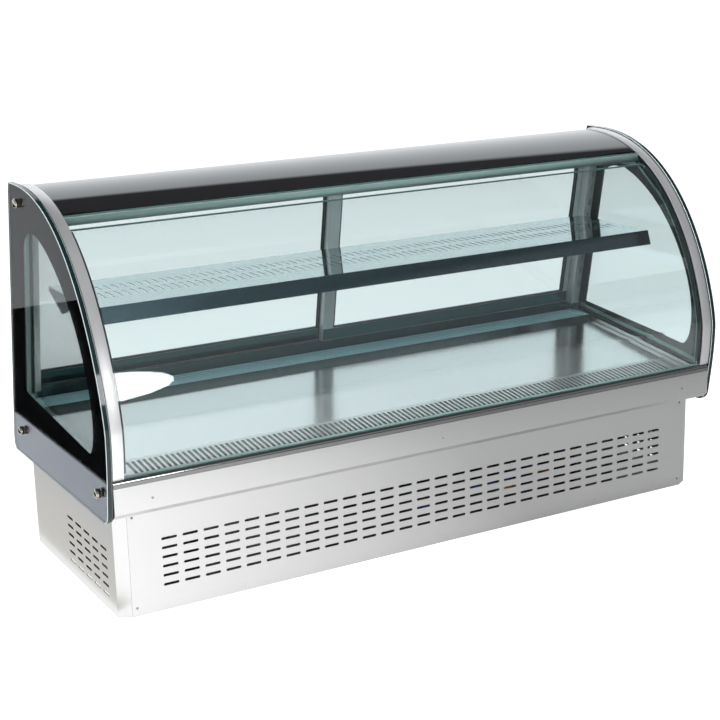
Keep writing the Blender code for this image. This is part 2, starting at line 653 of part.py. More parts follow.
def build_door(name, x_low, x_high, inset):
    """A sliding door: leaning frame with the pane let into it."""
    front = inset + DOOR_THICKNESS / 2
    rear = inset - DOOR_THICKNESS / 2
    frame = bar(name + "_frame", leaned_section(DOOR_BOTTOM, DOOR_TOP, front, rear), x_low, x_high,
                "aluminium")
    hole = bar(name + "_frame.cut", leaned_section(DOOR_BOTTOM + DOOR_RAIL, DOOR_TOP - 0.018, 0.10, -0.05),
               x_low + DOOR_STILE, x_high - DOOR_STILE, "aluminium")
    hole.hide_render = True
    hole.display_type = "WIRE"
    apply_boolean(frame, hole, "DIFFERENCE")
    bar(name + "_glass", leaned_section(DOOR_BOTTOM + DOOR_RAIL + GAP, DOOR_TOP - 0.018 - GAP,
                                        inset + 0.003, inset - 0.003),
        x_low + DOOR_STILE + GAP, x_high - DOOR_STILE - GAP, "glass")


def build_doors():
    edge = POST_INNER_X + 0.016
    build_door("door_left", -edge, DOOR_OVERLAP, OUTER_TRACK_INSET)
    build_door("door_right", -DOOR_OVERLAP, edge, INNER_TRACK_INSET)


# ---- shelf ----
def build_shelf():
    lip_y = SHELF_FRONT_Y - SHELF_LIP_LEAN
    lip_z = SHELF_Z - SHELF_LIP_DROP
    t = SHELF_SHEET
    outline = [(SHELF_REAR_Y, SHELF_Z), (SHELF_FRONT_Y, SHELF_Z), (lip_y, lip_z), (lip_y + 0.014, lip_z),
               (lip_y + 0.014, lip_z + t), (lip_y + 2 * t, lip_z + t), (SHELF_FRONT_Y + 1.6 * t, SHELF_Z - t),
               (SHELF_REAR_Y - t, SHELF_Z - t), (SHELF_REAR_Y - t, SHELF_Z - 0.012),
               (SHELF_REAR_Y, SHELF_Z - 0.012)]
    bar("shelf", outline, -SHELF_HALF_LENGTH, SHELF_HALF_LENGTH, "mirror_steel")
    for side, word in ((-1, "left"), (1, "right")):
        build_bracket(side, "shelf_bracket_" + word)


def build_bracket(side, name):
    """End arm under the shelf with an S-curved lower edge and a hook at its rear."""
    top = SHELF_Z - SHELF_SHEET - GAP
    rear = SHELF_REAR_Y - SHELF_SHEET - GAP
    lower = bezier(((0.128, 0.552), (0.030, 0.560), (-0.010, 0.585), (-0.100, 0.586)), 10)
    outline = [(rear, top - 0.013), (rear, top), (-0.100, top)] + [tuple(point) for point in lower[::-1]]
    inner = side * (SHELF_HALF_LENGTH - 0.002)
    ends = sorted((inner, inner - side * 0.0025))
    bar(name, outline, ends[0], ends[1], "steel")


# ---- controls ----
def build_controls():
    face = BASE_REAR_Y + GAP
    panel = block("control_panel", (0.33, face, CONTROL_Z - 0.036),
                  (0.56, face + 0.006, CONTROL_Z + 0.036), "black_plastic")
    cut_boxes(panel, [((x - 0.0108, face - 0.01, CONTROL_Z - 0.0148),
                       (x + 0.0108, face + 0.02, CONTROL_Z + 0.0148)) for x in SWITCH_X])
    tilted = [(-0.004, -0.0110), (0.0058, -0.0125), (0.0030, 0.0), (0.0058, 0.0125), (-0.004, 0.0110)]
    for name, x, finish in (("power_switch", SWITCH_X[0], "red_rocker"),
                            ("light_switch", SWITCH_X[1], "black_plastic")):
        rocker = bar(name, tilted, -0.0092, 0.0092, finish)
        rocker.location = (x, face + 0.0055, CONTROL_Z)
        rocker.rotation_euler[0] = -ROCKER_TILT
    gland = [(0.0, 0.0), (0.013, 0.0), (0.013, 0.006), (0.010, 0.008), (0.008, 0.018), (0.0, 0.018)]
    turned("cable_gland", gland, (0.64, BASE_REAR_Y + GAP, 0.050), (0, 1, 0), "black_plastic", 20)


def main():
    clear_scene()
    build_base()
    build_machine()
    build_tub()
    build_deck()
    build_fascia()
    for side, word in ((-1, "left"), (1, "right")):
        build_end_glass(side, word)
    build_front_glass()
    build_rear_frame()
    build_doors()
    build_shelf()
    build_controls()


main()
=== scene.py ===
"""Looks of a drop-in refrigerated display case with a curved glass front.

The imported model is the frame: metres, +X to the right of a person facing the
curved glass, +Y to the rear doors, +Z up. Each operator builds one group of
pieces on it, and the panel lists them in the order in which they are built.
"""
import math

import bmesh
import bpy
from mathutils import Matrix, Vector


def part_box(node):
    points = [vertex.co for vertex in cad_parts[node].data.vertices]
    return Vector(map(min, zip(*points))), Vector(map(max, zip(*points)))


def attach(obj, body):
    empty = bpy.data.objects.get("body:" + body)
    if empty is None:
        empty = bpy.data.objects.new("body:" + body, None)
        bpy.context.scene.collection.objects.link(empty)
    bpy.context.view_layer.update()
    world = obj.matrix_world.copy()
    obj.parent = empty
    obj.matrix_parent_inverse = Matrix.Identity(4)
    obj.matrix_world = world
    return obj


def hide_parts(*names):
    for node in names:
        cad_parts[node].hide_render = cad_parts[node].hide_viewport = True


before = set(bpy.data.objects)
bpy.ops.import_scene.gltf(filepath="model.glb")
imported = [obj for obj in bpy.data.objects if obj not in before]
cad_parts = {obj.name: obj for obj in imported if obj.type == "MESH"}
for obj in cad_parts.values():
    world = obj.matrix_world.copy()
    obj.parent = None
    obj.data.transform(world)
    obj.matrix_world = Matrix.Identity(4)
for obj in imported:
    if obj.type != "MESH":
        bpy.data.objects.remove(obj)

bl_info = {
    "name": "Refrigerated Display Case",
    "version": (1, 0, 0),
    "blender": (4, 5, 0),
    "location": "View3D > Sidebar > Display Case",
    "description": "Builds the finished look of a curved glass display case on its packed model",
    "category": "Object",
}

SIDES = (("left", -1), ("right", 1))
X, Y, Z = Vector((1, 0, 0)), Vector((0, 1, 0)), Vector((0, 0, 1))
# A screw's second finish is painted shade in its cross recess.
SCREW_FINISHES = ("screw_steel", "recess_painted_shade")
GAP = 0.0003  # clearance that keeps two pieces from touching
SHARP = math.radians(32)  # steeper edges than this are shaded sharp
REAR_LEAN = 0.188  # how far the rear leans forward for each metre of height
DECK_SLOPE = 0.11  # how far the deck rises for each metre towards the rear
BAND_EDGE = -0.0370  # depth where the clear front pane ends and the black band begins
BAND_REAR = 0.152  # depth where the black band and the trims end
AIR_GAP = 0.009  # between the two curved panes
SPACER_DEPTH = 0.0084
INNER_PANE = 0.005
SCREW_HEIGHT = 0.55  # of a screw head, as a share of its radius
DOOR_STILE = 0.028
# Each door's front and rear face, as insets from the leaning rear edge, and the side of its pull.
DOORS = (("door_left", 0.032, 0.016, -1), ("door_right", 0.051, 0.035, 1))
THERMOSTAT = (0.347, 0.425, 0.0945, 0.1295)  # lowest and highest X, lowest and highest Z
SWITCH_HEIGHT = 0.112


# ---- properties ----
def length(name, description, default):
    return bpy.props.FloatProperty(
        name=name, description=description, default=default, min=0.0, unit="LENGTH")


def power(name, description, default):
    return bpy.props.FloatProperty(
        name=name, description=description, default=default, min=0.0, unit="POWER")


def colour(name, description, default):
    return bpy.props.FloatVectorProperty(
        name=name, description=description, default=default, size=3, min=0.0, max=1.0, subtype="COLOR")


class CaseSizes(bpy.types.PropertyGroup):
    slot_pitch: length("Slot pitch", "Distance between the air slots of the housing", 0.0455)
    slot_row: length("Slot row pitch", "Height between two rows of air slots", 0.0194)
    slot_length: length("Slot length", "Length of an air slot over its round ends", 0.0335)
    slot_height: length("Slot height", "Height of an air slot", 0.0058)
    sheet: length("Sheet thickness", "Thickness of the housing sheet", 0.0015)
    pane: length("Front pane", "Thickness of the outer curved pane", 0.006)
    glass_inset: length("Glass inset", "Depth of the curved pane behind the end glass outline", 0.005)
    shelf_pitch: length("Shelf slot pitch", "Distance between the slots of the shelf", 0.018)
    screw_radius: length("Screw radius", "Radius of a sheet metal screw head", 0.0032)


class CaseFinishes(bpy.types.PropertyGroup):
    steel: colour("Stainless", "Colour of the satin stainless sheet", (0.70, 0.70, 0.695))
    polished: colour("Polished stainless", "Colour of the polished shelf", (0.50, 0.56, 0.56))
    aluminium: colour("Aluminium", "Colour of the brushed trims and door frames", (0.80, 0.80, 0.81))
    zinc: colour("Zinc", "Colour of the bare zinc coated sheet", (0.56, 0.58, 0.59))
    glass: colour("Glass", "Tint of one clear pane", (0.925, 0.972, 0.972))
    glass_edge: colour("Glass edge", "Colour inside a cut glass edge", (0.14, 0.24, 0.23))
    print_black: colour("Black print", "Colour of the print behind the glass", (0.010, 0.010, 0.011))
    nickel: colour("Nickel", "Colour of the polished bolt caps", (0.56, 0.51, 0.43))
    copper: colour("Copper", "Colour of the drawn copper pipes", (0.78, 0.40, 0.26))
    spacer: colour("Spacer", "Colour of the strip between two panes", (0.27, 0.38, 0.36))
    opal: colour("Lamp cover", "Colour of the opal lamp cover", (0.50, 0.56, 0.56))


class CaseStudio(bpy.types.PropertyGroup):
    key_power: power("Key power", "Power of the large softbox at the left", 40.0)
    top_power: power("Top power", "Power of the overhead softbox", 68.0)
    round_power: power("Round power", "Power of the low round softbox", 12.0)
    view_roll: bpy.props.FloatProperty(
        name="Camera roll", description="Roll of the camera", default=math.radians(-1.38), subtype="ANGLE")
    view_lens: bpy.props.FloatProperty(
        name="Lens", description="Focal length of the camera", default=77.63, min=1.0, unit="CAMERA")


# ---- mesh helpers ----
def side_span(side, near, far):
    """Lowest and highest X of a stretch that lies near to far from the middle on one side."""
    return tuple(sorted((side * near, side * far)))


def new_piece(name, bm, finishes, body="cabinet", stands_for=(), smooth=True, outward=True):
    """Turn a bmesh into a piece at the origin that rides on a body."""
    bmesh.ops.remove_doubles(bm, verts=bm.verts, dist=1e-6)
    if outward:
        bmesh.ops.recalc_face_normals(bm, faces=bm.faces)
    mesh = bpy.data.meshes.new(name)
    bm.to_mesh(mesh)
    bm.free()
    for finish in finishes:
        mesh.materials.append(bpy.data.materials[finish])
    if smooth:
        mesh.shade_smooth()
        mesh.set_sharp_from_angle(angle=SHARP)
        for polygon in mesh.polygons:
            polygon.use_smooth = abs(polygon.normal.x) < 0.9999
    piece = bpy.data.objects.new(name, mesh)
    bpy.context.scene.collection.objects.link(piece)
    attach(piece, body)
    if stands_for:
        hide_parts(*stands_for)
    return piece


def extrude_face(bm, corners, travel):
    """Close a ring of corners with one face and push it along travel into a solid."""
    push_faces(bm, [bm.faces.new([bm.verts.new(corner) for corner in corners])], travel)


def push_faces(bm, faces, travel):
    """Give open faces a wall by pushing a copy of them along travel."""
    pushed = bmesh.ops.extrude_face_region(bm, geom=faces)
    moved = [item for item in pushed["geom"] if isinstance(item, bmesh.types.BMVert)]
    bmesh.ops.translate(bm, verts=moved, vec=travel)


def add_section(bm, outline, x_low, x_high):
    """A solid of constant section: outline holds (y, z), swept along X."""
    extrude_face(bm, [(x_low, y, z) for y, z in outline], X * (x_high - x_low))


def add_box(bm, low, high, bevel=0.0, segments=2):
    """A box between two opposite corners, with rounded edges if bevel is above zero."""
    size = Vector(high) - Vector(low)
    middle = (Vector(high) + Vector(low)) / 2
    made = bmesh.ops.create_cube(
        bm, size=1.0, matrix=Matrix.Translation(middle) @ Matrix.Diagonal((*size, 1.0)))
    if bevel:
        edges = {edge for vert in made["verts"] for edge in vert.link_edges}
        bmesh.ops.bevel(
            bm, geom=list(edges), offset=bevel, offset_type="OFFSET", affect="EDGES",
            segments=segments, profile=0.5, material=-1, clamp_overlap=True)


def turn_to(axis, centre):
    """Matrix that carries +Z to axis and the origin to centre."""
    turn = Z.rotation_difference(Vector(axis)).to_matrix().to_4x4()
    return Matrix.Translation(centre) @ turn


def add_turned(bm, outline, matrix, steps=20):
    """Spin an (radius, height) outline about Z, then place it."""
    verts = [bm.verts.new((radius, 0.0, height)) for radius, height in outline]
    edges = [bm.edges.new(pair) for pair in zip(verts, verts[1:])]
    made = bmesh.ops.spin(
        bm, geom=verts + edges, cent=(0, 0, 0), axis=(0, 0, 1), angle=math.tau, steps=steps, use_merge=True)
    touched = set(verts)
    for item in made["geom_last"]:
        if isinstance(item, bmesh.types.BMVert):
            touched.add(item)
    linked = linked_verts(touched)
    bmesh.ops.transform(bm, matrix=matrix, verts=list(linked))
    bmesh.ops.remove_doubles(bm, verts=list(linked), dist=1e-6)


def linked_verts(start):
    """Every corner that edges join to the given ones."""
    found = set(start)
    front = list(start)
    while front:
        vert = front.pop()
        for edge in vert.link_edges:
            other = edge.other_vert(vert)
            if other not in found:
                found.add(other)
                front.append(other)
    return found


def ring_edges(bm, corners):
    """The edges of a closed ring of corners."""
    verts = [bm.verts.new(corner) for corner in corners]
    return [bm.edges.new(pair) for pair in zip(verts, verts[1:] + verts[:1])]


def slot_ring(bm, centre, along, across, long, high, segments=10):
    """Edges of a round-ended slot: a circle whose halves are moved apart."""
    made = bmesh.ops.create_circle(
        bm, cap_ends=False, radius=high / 2, segments=segments,
        matrix=Matrix.Rotation(math.pi / segments, 4, "Z"))
    reach = (long - high) / 2
    for vert in made["verts"]:
        shift = math.copysign(reach, vert.co.x) if abs(vert.co.x) > 1e-7 else 0.0
        vert.co = centre + along * (vert.co.x + shift) + across * vert.co.y
    return list({edge for vert in made["verts"] for edge in vert.link_edges})


def fill_with_holes(bm, edges):
    """Flat faces between the outer ring and the rings inside it."""
    filled = bmesh.ops.triangle_fill(bm, use_beauty=True, use_dissolve=False, edges=edges)
    return [item for item in filled["geom"] if isinstance(item, bmesh.types.BMFace)]


def bezier(corners, steps):
    """Points along a cubic curve, with steps stretches."""
    first, second, third, fourth = (Vector(corner) for corner in corners)
    points = []
    for step in range(steps + 1):
        t = step / steps
        s = 1 - t
        points.append(first * s ** 3 + second * 3 * s * s * t + third * 3 * s * t * t + fourth * t ** 3)
    return points


def front_curve(inset=0.0, z_low=0.0, y_high=10.0, steps=64):
    """The case's curved front as (y, z) points, moved inwards by inset."""
    lower = bezier(((-0.279, 0.236), (-0.286, 0.286), (-0.295, 0.332), (-0.295, 0.395)), steps // 4)
    upper = bezier(((-0.295, 0.395), (-0.295, 0.435), (-0.215, 0.817), (0.138, 0.817)), steps)
    line = lower + upper[1:] + [Vector((0.186, 0.817))]
    moved = []
    for index, point in enumerate(line):
        along = (line[min(index + 1, len(line) - 1)] - line[max(index - 1, 0)]).normalized()
        moved.append(point + Vector((along.y, -along.x)) * inset)
    return trimmed(moved, z_low, y_high)


def trimmed(line, z_low, y_high):
    """The stretch of a rising line above z_low and in front of y_high."""
    kept = []
    for start, stop in zip(line, line[1:]):
        if start.y < z_low <= stop.y:
            kept.append(start.lerp(stop, (z_low - start.y) / (stop.y - start.y)))
        if stop.y > z_low and start.y >= z_low and start.x < y_high:
            kept.append(start)
        if start.x < y_high <= stop.x:
            kept.append(start.lerp(stop, (y_high - start.x) / (stop.x - start.x)))
    if line[-1].x < y_high:
        kept.append(line[-1])
    return [point for index, point in enumerate(kept)
            if index == 0 or (point - kept[index - 1]).length > 1e-5]


def band_section(inset, thickness, z_low, y_low, y_high):
    """Section of a bent sheet that follows the curved front from y_low to y_high."""
    outside = [point for point in front_curve(inset, z_low, y_high) if point.x > y_low]
    inside = [point for point in front_curve(inset + thickness, z_low, y_high) if point.x > y_low]
    return [tuple(point) for point in outside + inside[::-1]]


def rear_y(z, inset=0.0):
    """Depth of the leaning rear edge at height z, moved inwards by inset."""
    return 0.295 - REAR_LEAN * (z - 0.240) - inset


def deck_height(y):
    """Height of the sloping deck at depth y."""
    return 0.315 + DECK_SLOPE * y


def screw(bm, place, axis, radius, turn):
    """Pan head with a cross recess, standing on place and facing along axis."""
    height = radius * SCREW_HEIGHT
    head = [(0.0, height), (radius * 0.55, height * 0.92), (radius * 0.88, height * 0.55), (radius, 0.0)]
    matrix = turn_to(axis, place) @ Matrix.Rotation(turn, 4, "Z")
    add_turned(bm, head, matrix, 12)
    for quarter in (0, math.pi / 2):
        box = Matrix.Rotation(quarter, 4, "Z") @ Matrix.Translation((0, 0, height * 0.93))
        groove = Matrix.Diagonal((radius * 1.1, radius * 0.26, height * 0.2, 1.0))
        made = bmesh.ops.create_cube(bm, size=1.0, matrix=matrix @ box @ groove)
        # The recess box gets the second finish: painted shade.
        for face in {face for vert in made["verts"] for face in vert.link_faces}:
            face.material_index = 1


# ---- shader node groups ----
def node_group(name, inputs, outputs):
    """A new shader node group with its sockets; returns the tree and its two end nodes."""
    tree = bpy.data.node_groups.new(name, "ShaderNodeTree")
    for title, kind, default in inputs:
        made = tree.interface.new_socket(name=title, in_out="INPUT", socket_type=kind)
        made.default_value = default
    for title, kind in outputs:
        tree.interface.new_socket(name=title, in_out="OUTPUT", socket_type=kind)
    return tree, tree.nodes.new("NodeGroupInput"), tree.nodes.new("NodeGroupOutput")


def feed(tree, node, values):
    """Fill inputs of a node: a socket is linked, anything else becomes the input's constant."""
    for title, value in values.items():
        if isinstance(value, bpy.types.NodeSocket):
            tree.links.new(value, node.inputs[title])
        else:
            node.inputs[title].default_value = value


def math_node(tree, operation, first, second, clamp=False):
    made = tree.nodes.new("ShaderNodeMath")
    made.operation = operation
    made.use_clamp = clamp
    feed(tree, made, {0: first, 1: second})
    return made.outputs[0]


def ramp(tree, value, low, high, start, stop):
    """Start below low, stop above high, and a straight blend between them."""
    made = tree.nodes.new("ShaderNodeMapRange")
    feed(tree, made, {"Value": value, "From Min": low, "From Max": high, "To Min": start, "To Max": stop})
    return made.outputs[0]


def ranged(tree, value, low, high):
    """Map a 0 to 1 value onto low to high; both may be sockets or numbers."""
    return ramp(tree, value, 0.0, 1.0, low, high)


def noise(tree, vector, scale, detail=3.0):
    """Soft cloudy noise from 0 to 1."""
    made = tree.nodes.new("ShaderNodeTexNoise")
    feed(tree, made, {"Vector": vector, "Scale": scale, "Detail": detail})
    return made.outputs["Fac"]


def mixed(tree, factor, first, second):
    """First where factor is 0, second where it is 1."""
    made = tree.nodes.new("ShaderNodeMix")
    feed(tree, made, {0: factor, 2: first, 3: second})
    return made.outputs[0]


def coloured(tree, factor, first, second, blend="MIX"):
    """Blend two colours: first where factor is 0."""
    made = tree.nodes.new("ShaderNodeMix")
    made.data_type = "RGBA"
    made.blend_type = blend
    feed(tree, made, {0: factor, 6: first, 7: second})
    return made.outputs[2]


def choose_surface(tree, factor, first, second, out):
    """Give an output the first shader where factor is 0 and the second where it is 1."""
    chosen = tree.nodes.new("ShaderNodeMixShader")
    feed(tree, chosen, {0: factor, 1: first.outputs[0], 2: second.outputs[0]})
    feed(tree, out, {"Surface": chosen.outputs[0]})


def object_vector(tree):
    return tree.nodes.new("ShaderNodeTexCoord").outputs["Object"]


def split(tree, vector):
    """The X, Y and Z outputs of a vector."""
    apart = tree.nodes.new("ShaderNodeSeparateXYZ")
    feed(tree, apart, {0: vector})
    return apart.outputs


def build_grain_group():
    """Fine lines drawn along one axis, with slow cloudy variation of the sheen."""
    tree, entry, leave = node_group(
        "drawn_grain",
        (("Stretch", "NodeSocketVector", (1.0, 1.0, 1.0)), ("Base", "NodeSocketColor", (0.7, 0.7, 0.7, 1.0)),
         ("Depth", "NodeSocketFloat", 0.06), ("Roughness", "NodeSocketFloat", 0.3),
         ("Spread", "NodeSocketFloat", 0.1)),
        (("Color", "NodeSocketColor"), ("Roughness", "NodeSocketFloat"), ("Height", "NodeSocketFloat")))
    given = entry.outputs
    place = object_vector(tree)
    stretched = tree.nodes.new("ShaderNodeVectorMath")
    stretched.operation = "MULTIPLY"
    feed(tree, stretched, {0: place, 1: given["Stretch"]})
    lines = noise(tree, stretched.outputs[0], 1.0, 4.0)
    clouds = noise(tree, place, 3.2)
    both = math_node(tree, "ADD", math_node(tree, "MULTIPLY", lines, 0.65),
                     math_node(tree, "MULTIPLY", clouds, 0.35))
    wide = math_node(tree, "ADD", given["Roughness"], given["Spread"])
    narrow = math_node(tree, "SUBTRACT", given["Roughness"], given["Spread"], clamp=True)
    feed(tree, leave, {"Color": coloured(tree, given["Depth"], given["Base"], both, "MULTIPLY"),
                       "Roughness": ranged(tree, both, narrow, wide), "Height": lines})


def build_smudge_group():
    """Faint wipe marks and dust: a mask and a roughness for glass and plastics."""
    tree, entry, leave = node_group(
        "wipe_marks",
        (("Scale", "NodeSocketFloat", 6.0), ("Low", "NodeSocketFloat", 0.0),
         ("High", "NodeSocketFloat", 0.05)),
        (("Mask", "NodeSocketFloat"), ("Roughness", "NodeSocketFloat")))
    given = entry.outputs
    place = object_vector(tree)
    patches = noise(tree, place, given["Scale"], 5.0)
    specks = noise(tree, place, 420.0, 1.0)
    dust = ranged(tree, math_node(tree, "GREATER_THAN", specks, 0.72), 0.0, 0.35)
    feed(tree, leave, {"Mask": math_node(tree, "ADD", patches, dust, clamp=True),
                       "Roughness": ranged(tree, patches, given["Low"], given["High"])})


def build_speckle_group():
    """Moulded or cast skin: a fine pebbled height and a slightly uneven colour."""
    tree, entry, leave = node_group(
        "pebbled_skin",
        (("Scale", "NodeSocketFloat", 900.0), ("Base", "NodeSocketColor", (0.02, 0.02, 0.02, 1.0)),
         ("Uneven", "NodeSocketFloat", 0.3)),
        (("Color", "NodeSocketColor"), ("Height", "NodeSocketFloat"), ("Mask", "NodeSocketFloat")))
    given = entry.outputs
    place = object_vector(tree)
    pebbles = tree.nodes.new("ShaderNodeTexVoronoi")
    feed(tree, pebbles, {"Vector": place, "Scale": given["Scale"]})
    patches = noise(tree, place, 14.0)
    feed(tree, leave, {"Color": coloured(tree, given["Uneven"], given["Base"], patches, "MULTIPLY"),
                       "Height": pebbles.outputs["Distance"], "Mask": patches})


# ---- materials ----
def new_material(name):
    """A new material; returns its node tree and its main shader."""
    made = bpy.data.materials.new(name)
    made.use_nodes = True
    tree = made.node_tree
    return tree, tree.nodes["Principled BSDF"]


def group_node(tree, title, **values):
    """Place a node group, fill its inputs and return its outputs."""
    made = tree.nodes.new("ShaderNodeGroup")
    made.node_tree = bpy.data.node_groups[title]
    feed(tree, made, values)
    return made.outputs


def bumped(tree, shader, height, strength, distance):
    """Roughen a shader's normal with a height."""
    bump = tree.nodes.new("ShaderNodeBump")
    feed(tree, bump, {"Height": height, "Strength": strength, "Distance": distance})
    feed(tree, shader, {"Normal": bump.outputs["Normal"]})


def grained_metal(name, base, roughness, spread, stretch, strength=0.25, depth=0.10, metallic=1.0):
    """Drawn or brushed metal; the grain runs along the axis with the smallest stretch."""
    tree, shader = new_material(name)
    grain = group_node(tree, "drawn_grain", Stretch=stretch, Base=(*base, 1.0), Depth=depth,
                       Roughness=roughness, Spread=spread)
    feed(tree, shader, {"Metallic": metallic, "Base Color": grain["Color"], "Roughness": grain["Roughness"]})
    bumped(tree, shader, grain["Height"], strength, 0.0001)


def clear_glass(name, tint):
    """A clear pane that lets lamps through, with faint wipe marks in its gloss."""
    tree, shader = new_material(name)
    feed(tree, shader, {"Base Color": (*tint, 1.0), "Transmission Weight": 1.0, "IOR": 1.5, "Roughness": 0.0})
    wipe = group_node(tree, "wipe_marks", Scale=4.0, Low=0.0, High=0.02)
    feed(tree, shader, {"Roughness": wipe["Roughness"]})
    path = tree.nodes.new("ShaderNodeLightPath")
    through = tree.nodes.new("ShaderNodeBsdfTransparent")
    feed(tree, through, {"Color": (*tint, 1.0)})
    choose_surface(tree, path.outputs["Is Shadow Ray"], shader, through, tree.nodes["Material Output"])


def gloss_skin(name, base, roughness, coat=0.0, spread=0.03):
    """A smooth non-metal with wipe marks in its gloss."""
    tree, shader = new_material(name)
    wipe = group_node(tree, "wipe_marks", Scale=6.0, Low=roughness, High=roughness + spread)
    feed(tree, shader, {"Base Color": (*base, 1.0), "IOR": 1.5, "Coat Weight": coat,
                        "Roughness": wipe["Roughness"]})


def flat_print(name, base):
    """Matt ink on the back of a pane: no shine of its own, slightly uneven."""
    tree, shader = new_material(name)
    skin = group_node(tree, "pebbled_skin", Scale=500.0, Base=(*base, 1.0), Uneven=0.4)
    feed(tree, shader, {"Base Color": skin["Color"], "Roughness": 0.95, "Specular IOR Level": 0.0})


def pebbled(name, base, roughness, scale=900.0, strength=0.3):
    """Moulded plastic, rubber or enamel with a fine pebbled skin."""
    tree, shader = new_material(name)
    skin = group_node(tree, "pebbled_skin", Scale=scale, Base=(*base, 1.0), Uneven=0.35)
    feed(tree, shader, {"Base Color": skin["Color"],
                        "Roughness": ranged(tree, skin["Mask"], roughness - 0.08, roughness + 0.08)})
    bumped(tree, shader, skin["Height"], strength, 0.0002)


def finned(name, base, axis, pitch):
    """Packed cooling fins in a fine row along one axis, with painted shade in the gaps between them."""
    tree, shader = new_material(name)
    turns = math_node(tree, "MULTIPLY", split(tree, object_vector(tree))[axis], math.tau / pitch)
    level = ranged(tree, math_node(tree, "SINE", turns, 0.0), 0.0, 1.0)
    # The near black stripes are painted shade between the fins.
    shade = coloured(tree, level, (0.03, 0.03, 0.035, 1.0), (*base, 1.0))
    feed(tree, shader, {"Metallic": 1.0, "Base Color": shade, "Roughness": ranged(tree, level, 0.6, 0.38)})
    bumped(tree, shader, level, 0.6, 0.001)


def glowing_cover(name, base, strength):
    """Opal cover with an even glow."""
    tree, shader = new_material(name)
    wipe = group_node(tree, "wipe_marks", Scale=9.0, Low=0.25, High=0.4)
    feed(tree, shader, {"Base Color": (*base, 1.0), "Emission Color": (*base, 1.0),
                        "Emission Strength": strength, "Roughness": wipe["Roughness"]})


def build_materials(tone):
    """All finishes; the last word of a satin steel's name is the axis of its grain."""
    across = {"x": (2.0, 700.0, 700.0), "y": (700.0, 2.0, 700.0), "z": (700.0, 700.0, 2.0)}
    for axis, stretch in across.items():
        grained_metal("satin_steel_" + axis, tone.steel, 0.30, 0.07, stretch)
    grained_metal("bead_steel", (0.62, 0.62, 0.62), 0.10, 0.04, across["x"], 0.12)
    # Dark finish for the lower side of the fascia's bead: a painted dark reflection.
    grained_metal("bead_dark_reflection", (0.26, 0.26, 0.26), 0.16, 0.04, across["x"], 0.12)
    grained_metal("deck_steel", tone.steel, 0.17, 0.06, across["x"], 0.12)
    grained_metal("polished_steel", tone.polished, 0.06, 0.03, across["x"], 0.05)
    grained_metal("dark_steel", (0.17, 0.20, 0.21), 0.16, 0.06, across["x"], 0.10)
    # Dark finish for the shelf's front lip: painted shade.
    grained_metal("painted_shade_steel", (0.13, 0.18, 0.21), 0.20, 0.06, across["x"], 0.10)
    grained_metal("brushed_aluminium", tone.aluminium, 0.36, 0.07, (900.0, 12.0, 12.0), 0.3, metallic=0.8)
    grained_metal("cool_steel", (0.60, 0.88, 0.95), 0.24, 0.06, across["x"], 0.12, metallic=0.1)
    # Dark grey-green finish for a thin sheet on the doors' bottom rails: painted shade.
    grained_metal("rail_painted_shade", (0.26, 0.34, 0.33), 0.22, 0.06, across["x"], 0.12)
    grained_metal("frame_aluminium", tone.aluminium, 0.26, 0.06, (800.0, 3.0, 3.0), 0.2, metallic=0.3)
    grained_metal("post_steel", tone.steel, 0.24, 0.06, across["z"], metallic=0.3)
    grained_metal("zinc_sheet", tone.zinc, 0.42, 0.10, (60.0, 60.0, 60.0), 0.15, 0.30)
    grained_metal("screw_steel", (0.62, 0.62, 0.61), 0.22, 0.06, (300.0, 300.0, 300.0), 0.1)
    grained_metal("nickel_cap", tone.nickel, 0.10, 0.05, (220.0, 220.0, 220.0), 0.08)
    grained_metal("drawn_copper", tone.copper, 0.24, 0.08, (160.0, 160.0, 160.0), 0.12, 0.30)
    clear_glass("clear_pane", tone.glass)
    clear_glass("end_pane", (0.96, 0.985, 0.985))
    gloss_skin("glass_edge", tone.glass_edge, 0.05)
    gloss_skin("dark_edge", (0.006, 0.016, 0.018), 0.04)
    # Light finish for the bevelled arris of the end glass: a painted highlight.
    gloss_skin("arris_highlight", (0.62, 0.70, 0.70), 0.30)
    flat_print("black_print", tone.print_black)
    gloss_skin("black_glass_band", tone.print_black, 0.02, coat=0.5, spread=0.02)
    gloss_skin("spacer_strip", tone.spacer, 0.30)
    gloss_skin("blue_sheath", (0.02, 0.14, 0.60), 0.35)
    gloss_skin("orange_sheath", (0.85, 0.34, 0.03), 0.35)
    gloss_skin("red_lens", (0.55, 0.02, 0.012), 0.18, coat=0.6)
    gloss_skin("dark_window", (0.012, 0.004, 0.004), 0.06, coat=0.8)
    pebbled("seal_rubber", (0.012, 0.020, 0.020), 0.45, 700.0)
    pebbled("black_moulding", (0.020, 0.020, 0.021), 0.42)
    pebbled("black_enamel", (0.016, 0.016, 0.017), 0.30, 260.0, 0.15)
    pebbled("grey_foam_skin", (0.60, 0.61, 0.61), 0.50, 500.0, 0.1)
    # Near black and dark grey finishes for screw recesses, the finger pull's well and the strips under the
    # front grille: painted shade.
    pebbled("recess_painted_shade", (0.008, 0.008, 0.008), 0.60)
    pebbled("channel_painted_shade", (0.075, 0.105, 0.100), 0.60)
    finned("condenser_fins", (0.62, 0.64, 0.66), 1, 0.0022)
    finned("evaporator_fins", (0.66, 0.68, 0.70), 0, 0.0040)
    glowing_cover("opal_cover", tone.opal, 5.0)


